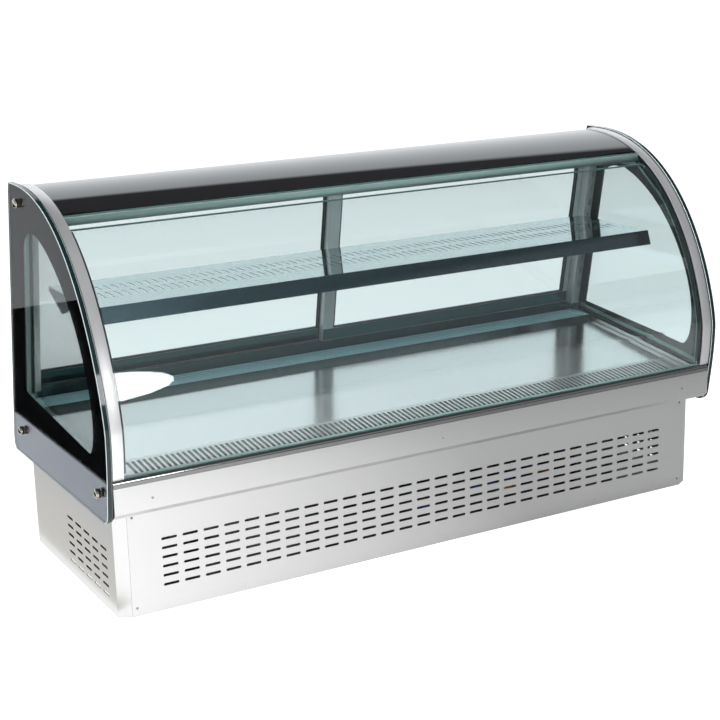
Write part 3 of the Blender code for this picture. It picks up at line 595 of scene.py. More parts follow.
NODE_FINISHES = {
    "satin_steel_x": ("back_panel", "end_rail_left", "end_rail_right"),
    "post_steel": ("corner_post_left", "corner_post_right"),
    "deck_steel": ("deck_plate",),
    "dark_steel": ("rear_sill",),
    "zinc_sheet": ("base_pan", "fan_shroud", "electrical_box"),
    "grey_foam_skin": ("insulated_tub",),
    "frame_aluminium": ("top_header", "door_left_frame", "door_right_frame"),
    "condenser_fins": ("condenser_coil",),
    "evaporator_fins": ("evaporator_coil",),
    "brushed_aluminium": ("condenser_fan_blade",),
    "clear_pane": ("inner_pane_left", "inner_pane_right", "door_left_glass", "door_right_glass"),
    "spacer_strip": ("pane_spacer_left", "pane_spacer_right"),
    "black_moulding": ("control_panel", "cable_gland", "light_switch", "evaporator_fan_motor",
                       "evaporator_fan_blade"),
    "black_enamel": ("compressor", "condenser_fan_motor"),
    "drawn_copper": ("filter_drier", "discharge_pipe", "liquid_pipe", "suction_pipe"),
    "blue_sheath": ("wire_blue",),
    "orange_sheath": ("wire_orange",),
    "opal_cover": ("top_lamp",),
    "red_lens": ("power_switch",),
}


class CASE_OT_finishes(bpy.types.Operator):
    """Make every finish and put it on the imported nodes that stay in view"""
    bl_idname = "case.finishes"
    bl_label = "Finishes"

    def execute(self, context):
        build_grain_group()
        build_smudge_group()
        build_speckle_group()
        build_materials(context.scene.case_finishes)
        for finish, nodes in NODE_FINISHES.items():
            for node in nodes:
                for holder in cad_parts[node].material_slots:
                    holder.material = bpy.data.materials[finish]
        return {"FINISHED"}


# ---- housing ----
def slotted_sheet(bm, corners, slots, along, across, sizes):
    """A flat sheet with round-ended slots; returns its faces."""
    edges = ring_edges(bm, corners)
    for centre in slots:
        edges += slot_ring(bm, centre, along, across, sizes.slot_length, sizes.slot_height)
    return fill_with_holes(bm, edges)


def build_front_sheet(sizes):
    low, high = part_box("louvre_panel")
    columns, rows, top_row = 28, 6, 0.151
    bm = bmesh.new()
    slots = [Vector(((column - (columns - 1) / 2) * sizes.slot_pitch, low[1], top_row - row * sizes.slot_row))
             for column in range(columns) for row in range(rows)]
    corners = [(low[0], low[1], low[2]), (high[0], low[1], low[2]), (high[0], low[1], high[2]),
               (low[0], low[1], high[2])]
    push_faces(bm, slotted_sheet(bm, corners, slots, X, Z, sizes), Y * sizes.sheet)
    new_piece("louvre_sheet", bm, ["satin_steel_x"], stands_for=("louvre_panel",))


def build_side_sheet(word, side, sizes):
    """Slotted side with its slanted front corner folded from the same sheet."""
    low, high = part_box("side_panel_" + word)
    outer = high[0] if side > 0 else low[0]
    face_front = low[1] + 0.0142
    columns, rows, rear_column, top_row, pitch = 5, 6, 0.0247, 0.1282, 0.0488
    bm = bmesh.new()
    slots = [Vector((outer, rear_column - column * pitch, top_row - row * sizes.slot_row))
             for column in range(columns) for row in range(rows)]
    corners = [(outer, face_front, low[2]), (outer, high[1], low[2]), (outer, high[1], high[2]),
               (outer, face_front, high[2])]
    push_faces(bm, slotted_sheet(bm, corners, slots, Y, Z, sizes), X * (-side * sizes.sheet))
    slant = [(outer, face_front), (outer - side * 0.025, low[1]), (outer - side * 0.045, low[1]),
             (outer - side * 0.045, low[1] + sizes.sheet), (outer - side * 0.0253, low[1] + sizes.sheet),
             (outer - side * sizes.sheet, face_front)]
    extrude_face(bm, [(x, y, low[2]) for x, y in slant], Z * (high[2] - low[2]))
    new_piece("side_sheet_" + word, bm, ["satin_steel_y"],
              stands_for=("side_panel_" + word,), smooth=False)


def build_housing_screws(sizes):
    """Cross recess screws that hold the front and back sheets."""
    low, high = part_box("louvre_panel")
    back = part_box("back_panel")[1][1]
    bm = bmesh.new()
    for x in (low[0] + 0.010, high[0] - 0.010):
        for z in (0.017, 0.207):
            screw(bm, (x, low[1], z), (0, -1, 0), sizes.screw_radius, 0.4 + 3 * x)
    for x in (-0.700, -0.240, 0.240, 0.700):
        for z in (0.014, 0.209):
            screw(bm, (x, back, z), (0, 1, 0), sizes.screw_radius, 0.9 + 5 * x + z)
    new_piece("housing_screws", bm, SCREW_FINISHES)


class CASE_OT_housing(bpy.types.Operator):
    """Build the slotted sheets of the machine housing and their screws"""
    bl_idname = "case.housing"
    bl_label = "Machine housing"

    def execute(self, context):
        sizes = context.scene.case_sizes
        build_front_sheet(sizes)
        for word, side in SIDES:
            build_side_sheet(word, side, sizes)
        build_housing_screws(sizes)
        return {"FINISHED"}


# ---- fascia ----
def build_fascia():
    """Folded front rail with a rolled bead along its top and a slanted lower lip."""
    low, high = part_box("front_fascia")
    face, rear = low[1] + 0.0015, high[1]
    top = high[2]
    round_off = 0.0095
    bead = []
    for step in range(15):
        angle = math.radians(-35 + 9 * step)
        bead.append((face + 0.0080 - round_off * math.cos(angle),
                     top - round_off + round_off * math.sin(angle)))
    outline = [(rear, low[2]), (face + 0.010, low[2]), (face, low[2] + 0.010), (face, top - 0.0170)]
    outline += bead + [(rear, top)]
    bm = bmesh.new()
    add_section(bm, outline, low[0], high[0])
    # The top strips of the bead get the bright bead finish; its lower strips get a dark finish, a painted
    # dark reflection.
    for strip in bm.faces:
        height = strip.calc_center_median().z
        if height > top - 0.0165 and abs(strip.normal.x) < 0.5:
            strip.material_index = 1 if height > top - 0.0070 else 2
    new_piece("fascia_rail", bm, ["satin_steel_x", "bead_steel", "bead_dark_reflection"],
              stands_for=("front_fascia",))
    return face


class CASE_OT_fascia(bpy.types.Operator):
    """Build the front rail under the curved glass and its three screws"""
    bl_idname = "case.fascia"
    bl_label = "Front rail"

    def execute(self, context):
        face = build_fascia()
        radius = context.scene.case_sizes.screw_radius
        bm = bmesh.new()
        for x in (-0.660, 0.0, 0.660):
            screw(bm, (x, face, 0.256), (0, -1, 0), radius * 0.9, 0.5 + x)
        new_piece("fascia_screws", bm, SCREW_FINISHES)
        return {"FINISHED"}


# ---- glass ----
def end_outline():
    """Closed (y, z) outline of the thick end glass."""
    foot = [(-0.255, 0.212), (-0.263, 0.2135), (-0.271, 0.219), (-0.276, 0.2255)]
    heel = [(rear_y(0.814, 0.003), 0.8145), (rear_y(0.803), 0.803), (0.295, 0.240), (0.2945, 0.224),
            (0.285, 0.212)]
    return [tuple(Vector(point)) for point in foot + front_curve(steps=48) + heel]


def window_outline():
    """Closed (y, z) outline of the clear window: a bow in front and a straight rear side."""
    front = bezier(((-0.193, 0.335), (-0.222, 0.345), (-0.235, 0.415), (-0.202, 0.496)), 10)
    front += bezier(((-0.202, 0.496), (-0.168, 0.580), (-0.100, 0.667), (0.002, 0.713)), 12)[1:]
    head = bezier(((0.002, 0.713), (0.060, 0.739), (0.110, 0.732), (0.129, 0.684)), 10)[1:]
    heel = bezier(((0.190, 0.385), (0.190, 0.368), (0.180, 0.366), (0.160, 0.3655)), 6)
    return [tuple(point) for point in front + head + heel]


def build_end_glass(word, side):
    """Thick pane with softened edges, and the black print on its inner face."""
    low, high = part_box("end_glass_" + word)
    outer, inner = (high[0], low[0]) if side > 0 else (low[0], high[0])
    print_depth = 0.0009
    pane_inner = inner + side * (print_depth + GAP)
    bm = bmesh.new()
    extrude_face(bm, [(outer, y, z) for y, z in end_outline()], X * (pane_inner - outer))
    rims = [edge for edge in bm.edges if abs(edge.verts[0].co.x - edge.verts[1].co.x) < 1e-6]
    for face in bm.faces:
        face.material_index = 1 if abs(face.normal.x) < 0.5 else 0
    arris = bmesh.ops.bevel(bm, geom=rims, offset=0.0011, offset_type="OFFSET", affect="EDGES", segments=1,
                            profile=0.5, material=-1, clamp_overlap=True)
    # The bevelled arris gets the light finish: a painted highlight.
    for face in arris["faces"]:
        face.material_index = 2
    new_piece("end_pane_" + word, bm, ["end_pane", "dark_edge", "arris_highlight"],
              stands_for=("end_glass_" + word,))
    bm = bmesh.new()
    middle = Vector((0.0, 0.48))
    shrunk = [middle + (Vector(point) - middle) * 0.998 for point in end_outline()]
    edges = ring_edges(bm, [(inner, y, z) for y, z in shrunk])
    edges += ring_edges(bm, [(inner, y, z) for y, z in window_outline()])
    faces = fill_with_holes(bm, edges)
    push_faces(bm, faces, X * (side * print_depth))
    new_piece("end_print_" + word, bm, ["black_print"], smooth=False)


def build_front_panes(sizes):
    """Outer and inner curved panes with green cut edges."""
    low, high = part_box("front_glass")
    section = band_section(sizes.glass_inset, sizes.pane, low[2], -1.0, BAND_EDGE)
    bm = bmesh.new()
    add_section(bm, section, low[0], high[0])
    tint_edges(bm, low[2], BAND_EDGE)
    new_piece("curved_pane", bm, ["clear_pane", "glass_edge"], stands_for=("front_glass",))
    low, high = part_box("front_glass_inner")
    section = band_section(sizes.glass_inset + sizes.pane + AIR_GAP, INNER_PANE, low[2], -1.0, -0.056)
    bm = bmesh.new()
    add_section(bm, section, low[0], high[0])
    tint_edges(bm, low[2], high[1])
    new_piece("curved_pane_inner", bm, ["clear_pane", "glass_edge"],
              stands_for=("front_glass_inner",))


def tint_edges(bm, bottom, rear):
    """Give the cut edges at the bottom and the rear of a bent pane the edge finish."""
    bm.faces.ensure_lookup_table()
    for face in bm.faces:
        centre = face.calc_center_median()
        if centre.z < bottom + 1e-4 or centre.y > rear - 1.2e-3:
            face.material_index = 1


def build_edge_spacer(sizes):
    """Strip that closes the gap between the curved panes along their upper and lower edges."""
    inset = sizes.glass_inset + sizes.pane + GAP
    low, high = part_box("front_glass_inner")
    x_low, x_high = low[0] + 0.002, high[0] - 0.002
    bm = bmesh.new()
    add_section(bm, band_section(inset, SPACER_DEPTH, 0.0, -0.0490, BAND_EDGE - 0.001), x_low, x_high)
    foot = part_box("front_fascia")[1][2] + GAP
    corners = [front_curve(inset + depth, foot + rise)[0]
               for depth, rise in ((0, 0), (0, 0.0020), (SPACER_DEPTH, 0.0020), (SPACER_DEPTH, 0))]
    add_section(bm, [tuple(point) for point in corners], x_low, x_high)
    new_piece("pane_spacer_front", bm, ["spacer_strip"])


class CASE_OT_glass(bpy.types.Operator):
    """Build the end panes with their print, the curved panes and their spacers"""
    bl_idname = "case.glass"
    bl_label = "Glass"

    def execute(self, context):
        sizes = context.scene.case_sizes
        for word, side in SIDES:
            build_end_glass(word, side)
        build_front_panes(sizes)
        build_edge_spacer(sizes)
        return {"FINISHED"}


# ---- trims, band and seals ----
def crowned_strip(bm, inner_x, outer_x, insets, bottom, y_high):
    """A strip along the curved front whose cross-section is bowed: insets run across it."""
    rows = []
    last = len(insets) - 3
    for index, inset in enumerate(insets):
        x = inner_x + (outer_x - inner_x) * min(max(index - 1, 0), last) / last
        rows.append([bm.verts.new((x, point.x, point.y)) for point in front_curve(inset, bottom, y_high)])
    count = min(len(row) for row in rows)
    for near, far in zip(rows, rows[1:]):
        for step in range(count - 1):
            bm.faces.new((near[step], near[step + 1], far[step + 1], far[step]))


def build_trim(word, side, sizes):
    """Bowed aluminium strip on the edge of the curved pane, beside the end glass."""
    low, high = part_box("curved_trim_" + word)
    outer, inner = (high[0], low[0]) if side > 0 else (low[0], high[0])
    base = sizes.glass_inset - GAP
    steps = 10
    insets = []
    for step in range(steps + 1):
        across = 2 * step / steps - 1
        insets.append(base - 0.0026 - 0.0006 * (1 - across * across))
    insets = [base] + insets + [base]
    bm = bmesh.new()
    crowned_strip(bm, inner, outer, insets, low[2], BAND_REAR)
    piece = new_piece("edge_trim_" + word, bm, ["brushed_aluminium"],
                      stands_for=("curved_trim_" + word,), outward=False)
    face_out(piece)


def face_out(piece):
    """Turn an open strip's faces away from the case, then give it a thin wall."""
    bm = bmesh.new()
    bm.from_mesh(piece.data)
    middle = Vector((0.0, 0.05, 0.45))
    for face in bm.faces:
        centre = face.calc_center_median()
        reach = Vector((0.0, centre.y - middle.y, centre.z - middle.z))
        if face.normal.dot(reach) < 0:
            face.normal_flip()
    bm.to_mesh(piece.data)
    bm.free()
    wall = piece.modifiers.new("wall", "SOLIDIFY")
    wall.thickness = 0.0006
    wall.offset = -1.0


def build_band(sizes):
    """Bent glass with a gloss black back that carries the curve to the rear top edge."""
    low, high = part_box("top_cover")
    bm = bmesh.new()
    section = band_section(sizes.glass_inset, sizes.pane, 0.0, BAND_EDGE + GAP, BAND_REAR)
    add_section(bm, section, low[0], high[0])
    new_piece("black_band", bm, ["black_glass_band"], stands_for=("top_cover",))


def build_seals(sizes):
    """Rubber strips between the two curved panes, along their ends."""
    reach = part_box("front_glass_inner")[1][0]
    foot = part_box("front_fascia")[1][2] + 0.010
    section = band_section(sizes.glass_inset + sizes.pane + GAP, SPACER_DEPTH, foot, -1.0, -0.075)
    for word, side in SIDES:
        bm = bmesh.new()
        add_section(bm, section, *side_span(side, reach - 0.008, reach - GAP))
        new_piece("pane_seal_" + word, bm, ["seal_rubber"])


def leaned(z_low, z_high, front, rear):
    """Section of an upright that leans with the rear of the case; insets run from the rear edge."""
    return [(rear_y(z_low, front), z_low), (rear_y(z_low, rear), z_low),
            (rear_y(z_high, rear), z_high), (rear_y(z_high, front), z_high)]


def build_gasket(word):
    """Black channel of rubber on the rear and lower edges of the inner pane of an end."""
    low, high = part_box("inner_pane_" + word)
    x_low, x_high = low[0] - 0.0016, high[0] + 0.0016
    foot_rear = Vector((rear_y(0.36, 0.083), deck_height(0.183) + 0.013))
    foot_front = Vector((-0.236, deck_height(-0.236) + 0.013))
    rise = Vector((0.0, 0.0046))
    bm = bmesh.new()
    add_section(bm, leaned(0.366, 0.735, 0.104, 0.0796), x_low, x_high)
    add_section(bm, [tuple(foot_front - rise * 0.3), tuple(foot_rear - rise * 0.3), tuple(foot_rear + rise),
                     tuple(foot_front + rise)], x_low, x_high)
    new_piece("pane_gasket_" + word, bm, ["seal_rubber"], smooth=False)


class CASE_OT_trims(bpy.types.Operator):
    """Build the aluminium trims, the black glass band and the seals"""
    bl_idname = "case.trims"
    bl_label = "Trims, band and seals"

    def execute(self, context):
        sizes = context.scene.case_sizes
        for word, side in SIDES:
            build_trim(word, side, sizes)
        build_band(sizes)
        build_seals(sizes)
        for word, _ in SIDES:
            build_gasket(word)
        return {"FINISHED"}


# ---- bolts ----
def build_bolt(word, side, number):
    """Domed cap on a black collar; the cap has a chamfered waist."""
    node = "bolt_%s_%d" % (word, number)
    low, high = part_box(node)
    centre = Vector(((low[0] if side > 0 else high[0]), (low[1] + high[1]) / 2, (low[2] + high[2]) / 2))
    place = turn_to((side, 0, 0), centre)
    collar = [(0.0, 0.0), (0.0088, 0.0), (0.0092, 0.0004), (0.0092, 0.0034), (0.0088, 0.0038), (0.0, 0.0038)]
    bm = bmesh.new()
    add_turned(bm, collar, place, 32)
    new_piece(node + "_collar", bm, ["black_moulding"])
    cap = [(0.0, 0.0040), (0.0094, 0.0040), (0.0102, 0.0046), (0.0104, 0.0070), (0.0099, 0.0080),
           (0.0088, 0.0083), (0.0086, 0.0087), (0.0078, 0.0100), (0.0058, 0.0110), (0.0030, 0.01155),
           (0.0, 0.0117)]
    bm = bmesh.new()
    add_turned(bm, cap, place, 32)
    new_piece(node + "_cap", bm, ["nickel_cap"], stands_for=(node,))


class CASE_OT_bolts(bpy.types.Operator):
    """Build the six capped bolts of the end glass"""
    bl_idname = "case.bolts"
    bl_label = "Bolts"

    def execute(self, context):
        for word, side in SIDES:
            for number in (1, 2, 3):
                build_bolt(word, side, number)
        return {"FINISHED"}


# ---- shelf ----
def build_shelf(sizes):
    """Folded shelf with two rows of slots, a row of round holes and a drooping front lip."""
    low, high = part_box("shelf")
    top, rear = high[2], high[1]
    front = -0.118
    lip_y, lip_z = low[1], low[2]
    bm = bmesh.new()
    edges = ring_edges(bm, [(low[0], front, top), (high[0], front, top), (high[0], rear, top),
                            (low[0], rear, top)])
    count = 74
    for index in range(count):
        x = (index - (count - 1) / 2) * sizes.shelf_pitch
        for y, long, wide in ((0.051, 0.038, 0.0052), (-0.013, 0.038, 0.0052), (-0.040, 0.0052, 0.005)):
            edges += slot_ring(bm, Vector((x, y, top)), Y, X, long, wide, 8)
    push_faces(bm, fill_with_holes(bm, edges), Z * -sizes.sheet)
    lip = [(front, top), (lip_y, lip_z), (lip_y + 0.014, lip_z), (lip_y + 0.014, lip_z + sizes.sheet),
           (lip_y + 0.0028, lip_z + sizes.sheet), (front + 0.0018, top - sizes.sheet)]
    sheet_faces = set(bm.faces)
    add_section(bm, lip, low[0], high[0])
    # The lip gets the dark second finish: painted shade.
    for face in set(bm.faces) - sheet_faces:
        face.material_index = 1
    add_section(bm, [(rear, top - sizes.sheet), (rear, top - 0.012), (rear - sizes.sheet, top - 0.012),
                     (rear - sizes.sheet, top - sizes.sheet)], low[0], high[0])
    new_piece("slotted_shelf", bm, ["polished_steel", "painted_shade_steel"], body="shelf",
              stands_for=("shelf",), smooth=False)


def build_bracket(word, side):
    """Shelf arm with a waved lower edge and two rivets."""
    low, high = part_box("shelf_bracket_" + word)
    lower = bezier(((0.128, 0.548), (0.060, 0.548), (0.045, 0.562), (0.010, 0.576)), 8)
    lower += bezier(((0.010, 0.576), (-0.030, 0.588), (-0.060, 0.586), (-0.100, 0.586)), 6)[1:]
    lower = [point for point in lower if point.y > low[2]]
    outline = [(high[1], high[2] - 0.013), (high[1], high[2]), (low[1], high[2])]
    outline += [tuple(point) for point in lower[::-1]]
    bm = bmesh.new()
    add_section(bm, outline, low[0], high[0])
    new_piece("shelf_arm_" + word, bm, ["satin_steel_y"], stands_for=("shelf_bracket_" + word,),
              smooth=False)
    bm = bmesh.new()
    face = high[0] if side > 0 else low[0]
    rivet = [(0.0, 0.0012), (0.0018, 0.0010), (0.0028, 0.0)]
    for y, z in ((0.112, 0.578), (0.070, 0.584)):
        add_turned(bm, rivet, turn_to((side, 0, 0), (face, y, z)), 12)
    new_piece("arm_rivets_" + word, bm, ["screw_steel"])


class CASE_OT_shelf(bpy.types.Operator):
    """Build the slotted shelf and its arms"""
    bl_idname = "case.shelf"
    bl_label = "Shelf"

    def execute(self, context):
        build_shelf(context.scene.case_sizes)
        for word, side in SIDES:
            build_bracket(word, side)
        return {"FINISHED"}


# ---- deck ----
def build_return_grille():
    """Sloping front grille with a row of long round-ended slots, over dark strips of painted shade where the
    air channel lies.
    """
    low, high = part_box("return_grille")
    along = Vector((0.0, 1.0, DECK_SLOPE)).normalized()
    count, pitch, middle = 112, 0.012, -0.2045
    bm = bmesh.new()
    edges = ring_edges(bm, [(x, y, deck_height(y)) for x, y in (
        (low[0], low[1]), (high[0], low[1]), (high[0], high[1]), (low[0], high[1]))])
    for index in range(count):
        centre = Vector(((index - (count - 1) / 2) * pitch, middle, deck_height(middle)))
        edges += slot_ring(bm, centre, along, X, 0.075, 0.0074, 8)
    push_faces(bm, fill_with_holes(bm, edges), Z * -0.0015)
    new_piece("slotted_grille", bm, ["satin_steel_x"], stands_for=("return_grille",),
              smooth=False)
    # Two dark strips under the slots stand in for the shade in the air channel: painted shade.
    bm = bmesh.new()
    for front, rear in ((-0.246, -0.207), (-0.2068, -0.163)):
        add_section(bm, [(y, deck_height(y) - depth) for y, depth in (
            (front, 0.0040), (rear, 0.0040), (rear, 0.0055), (front, 0.0055))], -0.686, 0.686)
    for face in bm.faces:
        face.material_index = 1 if face.calc_center_median().y > -0.2069 else 0
    new_piece("air_channel_shade", bm, ["recess_painted_shade", "channel_painted_shade"], smooth=False)


def build_discharge_grille():
    """Rounded ribs across the cold air outlet, with a folded riser in front of them."""
    low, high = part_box("discharge_grille")
    top, rear = high[2], high[1]
    bm = bmesh.new()
    add_section(bm, [(low[1], low[2] + 0.0022), (0.133, top), (0.136, top), (0.136, top - 0.0015),
                     (0.1345, top - 0.0015), (low[1] + 0.0015, low[2])], low[0], high[0])
    new_piece("discharge_riser", bm, ["dark_steel"], stands_for=("discharge_grille",),
              smooth=False)
    crown_height = 0.0012
    bm = bmesh.new()
    for start, stop in ((0.1362, 0.1395), (0.1485, 0.1540), (0.1630, 0.1685), (0.1775, 0.1830),
                        (0.1920, 0.1975), (0.2065, rear)):
        half = (stop - start) / 2
        angles = [math.radians(degrees) for degrees in range(0, 181, 30)]
        crown = [(start + half - half * math.cos(angle), top - crown_height + crown_height * math.sin(angle))
                 for angle in angles]
        add_section(bm, [(start, top - 0.0020)] + crown + [(stop, top - 0.0020)], -0.700, 0.700)
    for x_low, x_high in ((low[0], -0.7001), (0.7001, high[0])):
        add_box(bm, (x_low, 0.1362, top - 0.0020), (x_high, rear, top))
    new_piece("discharge_ribs", bm, ["cool_steel"])
    bm = bmesh.new()
    add_box(bm, (-0.690, 0.138, top - 0.0048), (0.690, rear - 0.0010, top - 0.0032))
    new_piece("discharge_mesh", bm, ["cool_steel"])


def build_deck_screws(radius):
    """A small screw at each end of the raised rear of the deck."""
    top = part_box("discharge_grille")[1][2]
    bm = bmesh.new()
    for x in (-0.7075, 0.7075):
        screw(bm, (x, 0.150, top), (0, 0, 1), radius * 0.75, 0.3 + 4 * x)
    new_piece("deck_screws", bm, SCREW_FINISHES)


class CASE_OT_deck(bpy.types.Operator):
    """Build the two air grilles and the deck's screws"""
    bl_idname = "case.deck"
    bl_label = "Deck"

    def execute(self, context):
        build_return_grille()
        build_discharge_grille()
        build_deck_screws(context.scene.case_sizes.screw_radius)
        return {"FINISHED"}


# ---- doors ----
def build_door_parts(name, front, rear, pull_side, radius):
    """A thin sheet of painted shade on the bottom rail, glazing bead, finger pull with a well of painted
    shade, and corner screws of one sliding door.
    """
    low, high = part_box(name + "_frame")
    # A thin dark sheet on the front face of the bottom rail: painted shade.
    bm = bmesh.new()
    add_section(bm, leaned(low[2] + 0.001, low[2] + 0.0285, front + 0.0005, front),
                low[0] + 0.001, high[0] - 0.001)
    new_piece(name + "_rail_shade_sheet", bm, ["rail_painted_shade"], body=name, smooth=False)
    bm = bmesh.new()
    x_low, x_high = low[0] + DOOR_STILE, high[0] - DOOR_STILE
    z_low, z_high = low[2] + 0.029, high[2] - 0.018
    for inner, outer in ((front - 0.0040, front - 0.0005), (rear + 0.0005, rear + 0.0040)):
        for bottom, top in ((z_low + GAP, z_low + 0.003), (z_high - 0.003, z_high - GAP)):
            add_section(bm, leaned(bottom, top, outer, inner), x_low + GAP, x_high - GAP)
        for near, far in ((x_low + GAP, x_low + 0.003), (x_high - 0.003, x_high - GAP)):
            add_section(bm, leaned(z_low + 0.003, z_high - 0.003, outer, inner), near, far)
    new_piece(name + "_bead", bm, ["seal_rubber"], body=name, smooth=False)
    middle = low[0] + DOOR_STILE / 2 if pull_side < 0 else high[0] - DOOR_STILE / 2
    out = Vector((0.0, 1.0, REAR_LEAN)).normalized()
    up = Vector((0.0, -REAR_LEAN, 1.0)).normalized()
    pull_height = 0.555
    centre = Vector((middle, rear_y(pull_height, rear), pull_height)) + out * 0.0001
    bm = bmesh.new()
    edges = slot_ring(bm, centre, up, X, 0.090, 0.020, 16)
    edges += slot_ring(bm, centre, up, X, 0.083, 0.013, 16)
    push_faces(bm, fill_with_holes(bm, edges), out * 0.0005)
    new_piece(name + "_pull_rim", bm, ["black_moulding"], body=name, smooth=False)
    # The pull's well is a flat near black plate: painted shade of the sunk recess.
    bm = bmesh.new()
    edges = slot_ring(bm, centre, up, X, 0.0826, 0.0126, 16)
    push_faces(bm, fill_with_holes(bm, edges), out * 0.0001)
    new_piece(name + "_pull_well_shade", bm, ["recess_painted_shade"], body=name, smooth=False)
    bm = bmesh.new()
    for x in (low[0] + 0.008, high[0] - 0.008):
        for z in (low[2] + 0.010, high[2] - 0.009):
            place = Vector((x, rear_y(z, rear), z)) - out * 0.0005
            screw(bm, place, out, radius * 0.7, 0.7 + 9 * x + z)
    new_piece(name + "_screws", bm, SCREW_FINISHES, body=name)


def build_brush(front):
    """Brush strip on the overlapping stile, which closes the gap between the doors."""
    low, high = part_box("door_left_frame")
    bm = bmesh.new()
    add_section(bm, leaned(low[2] + 0.034, high[2] - 0.022, front + 0.0018, front),
                high[0] - 0.010, high[0] - 0.004)
    new_piece("door_left_brush", bm, ["seal_rubber"], body="door_left", smooth=False)


class CASE_OT_doors(bpy.types.Operator):
    """Build what is fitted to the two sliding doors"""
    bl_idname = "case.doors"
    bl_label = "Sliding doors"

    def execute(self, context):
        radius = context.scene.case_sizes.screw_radius
        for name, front, rear, pull_side in DOORS:
            build_door_parts(name, front, rear, pull_side, radius)
        build_brush(0.0325)
        return {"FINISHED"}


# ---- machine ----
def add_ring(bm, radius, thickness, matrix, steps=40):
    """A round wire bent into a ring about Z."""
    outline = []
    for corner in range(7):
        angle = math.tau * corner / 6
        outline.append((radius + thickness * math.cos(angle), thickness * math.sin(angle)))
    add_turned(bm, outline, matrix, steps)


def build_compressor_parts():
    """Weld seam, terminal cover and feet of the compressor."""
    low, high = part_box("compressor")
    x, y = (low[0] + high[0]) / 2, (low[1] + high[1]) / 2
    bm = bmesh.new()
    add_ring(bm, 0.0695, 0.0022, Matrix.Translation((x, y, 0.100)), 48)
    add_ring(bm, 0.0700, 0.0014, Matrix.Translation((x, y, 0.094)), 48)
    new_piece("compressor_seam", bm, ["black_enamel"])
    bm = bmesh.new()
    add_box(bm, (x + 0.060, y - 0.026, 0.062), (x + 0.092, y + 0.026, 0.120), 0.004, 3)
    new_piece("terminal_cover", bm, ["black_moulding"])
    bm = bmesh.new()
    for turn in range(4):
        angle = math.radians(45 + 90 * turn)
        foot = Vector((x + 0.072 * math.cos(angle), y + 0.072 * math.sin(angle), 0.008))
        add_turned(bm, [(0.0, 0.0), (0.0090, 0.0), (0.0095, 0.003), (0.0080, 0.008), (0.0, 0.008)],
                   Matrix.Translation(foot), 16)
        add_turned(bm, [(0.0, 0.0), (0.0048, 0.0), (0.0048, 0.003), (0.0028, 0.004), (0.0028, 0.007),
                        (0.0, 0.007)], Matrix.Translation(foot + Z * 0.008), 6)
    new_piece("compressor_feet", bm, ["seal_rubber"])


def build_coil_parts():
    """End plates and return bends of the condenser."""
    low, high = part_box("condenser_coil")
    bm = bmesh.new()
    for near, far in ((low[1] - 0.0016, low[1] - GAP), (high[1] + GAP, high[1] + 0.0016)):
        add_box(bm, (low[0] - 0.0015, near, low[2] + 0.001), (high[0] + 0.0015, far, high[2]))
    new_piece("coil_end_plates", bm, ["zinc_sheet"])
    bm = bmesh.new()
    for side, face in ((-1, low[1] - 0.0016), (1, high[1] + 0.0016)):
        for row in range(6):
            z = 0.032 + 0.026 * row + (0.006 if side > 0 else 0.0)
            for x in (low[0] + 0.013, low[0] + 0.036):
                bend = Matrix.Translation((x, face, z)) @ Matrix.Rotation(side * math.pi / 2, 4, "X")
                add_half_ring(bm, 0.0075, 0.0036, bend)
    new_piece("coil_bends", bm, ["drawn_copper"])


def add_half_ring(bm, radius, thickness, matrix):
    """Half of a round bend that stands on the XY plane of the matrix."""
    before = set(bm.verts)
    angles = [math.tau * corner / 8 for corner in range(8)]
    edges = ring_edges(bm, [(radius + thickness * math.cos(angle), 0.0, thickness * math.sin(angle))
                            for angle in angles])
    ring = [edge.verts[0] for edge in edges]
    bmesh.ops.spin(bm, geom=ring + edges, cent=(0, 0, 0), axis=(0, 0, 1), angle=math.pi, steps=8)
    made = [vert for vert in bm.verts if vert not in before]
    upright = Matrix.Rotation(math.pi / 2, 4, "X")
    bmesh.ops.transform(bm, matrix=matrix @ upright, verts=made)


def build_guard():
    """Wire guard with four spokes in front of the condenser fan."""
    low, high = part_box("fan_shroud")
    centre = Vector((high[0] + 0.0030, (low[1] + high[1]) / 2, 0.106))
    place = turn_to((1, 0, 0), centre)
    bm = bmesh.new()
    for radius in (0.046, 0.056, 0.066, 0.076, 0.086):
        add_ring(bm, radius, 0.0011, place)
    for turn in range(4):
        turned = place @ Matrix.Rotation(math.radians(45 + 90 * turn), 4, "Z")
        spoke = turned @ Matrix.Translation((0.067, 0, 0.0018))
        bmesh.ops.create_cone(bm, cap_ends=True, segments=8, radius1=0.0012, radius2=0.0012, depth=0.046,
                              matrix=spoke @ Matrix.Rotation(math.pi / 2, 4, "Y"))
    new_piece("fan_guard", bm, ["screw_steel"])


def build_box_lid(radius):
    """Lid with rolled edge and screws on the electrical box."""
    low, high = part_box("electrical_box")
    bm = bmesh.new()
    add_box(bm, (low[0] - 0.001, low[1] - 0.001, high[2] - 0.010),
            (high[0] + 0.001, high[1] + 0.001, high[2] + 0.002), 0.0012)
    new_piece("electrical_lid", bm, ["zinc_sheet"])
    bm = bmesh.new()
    for x in (low[0] + 0.010, high[0] - 0.010):
        for y in (low[1] + 0.010, high[1] - 0.010):
            screw(bm, (x, y, high[2] + 0.002), (0, 0, 1), radius, 6 * x + 9 * y)
    new_piece("lid_screws", bm, SCREW_FINISHES)


class CASE_OT_machine(bpy.types.Operator):
    """Build the fittings of the compressor, the condenser, its fan and the electrical box"""
    bl_idname = "case.machine"
    bl_label = "Machine"

    def execute(self, context):
        build_compressor_parts()
        build_coil_parts()
        build_guard()
        build_box_lid(context.scene.case_sizes.screw_radius)
        return {"FINISHED"}


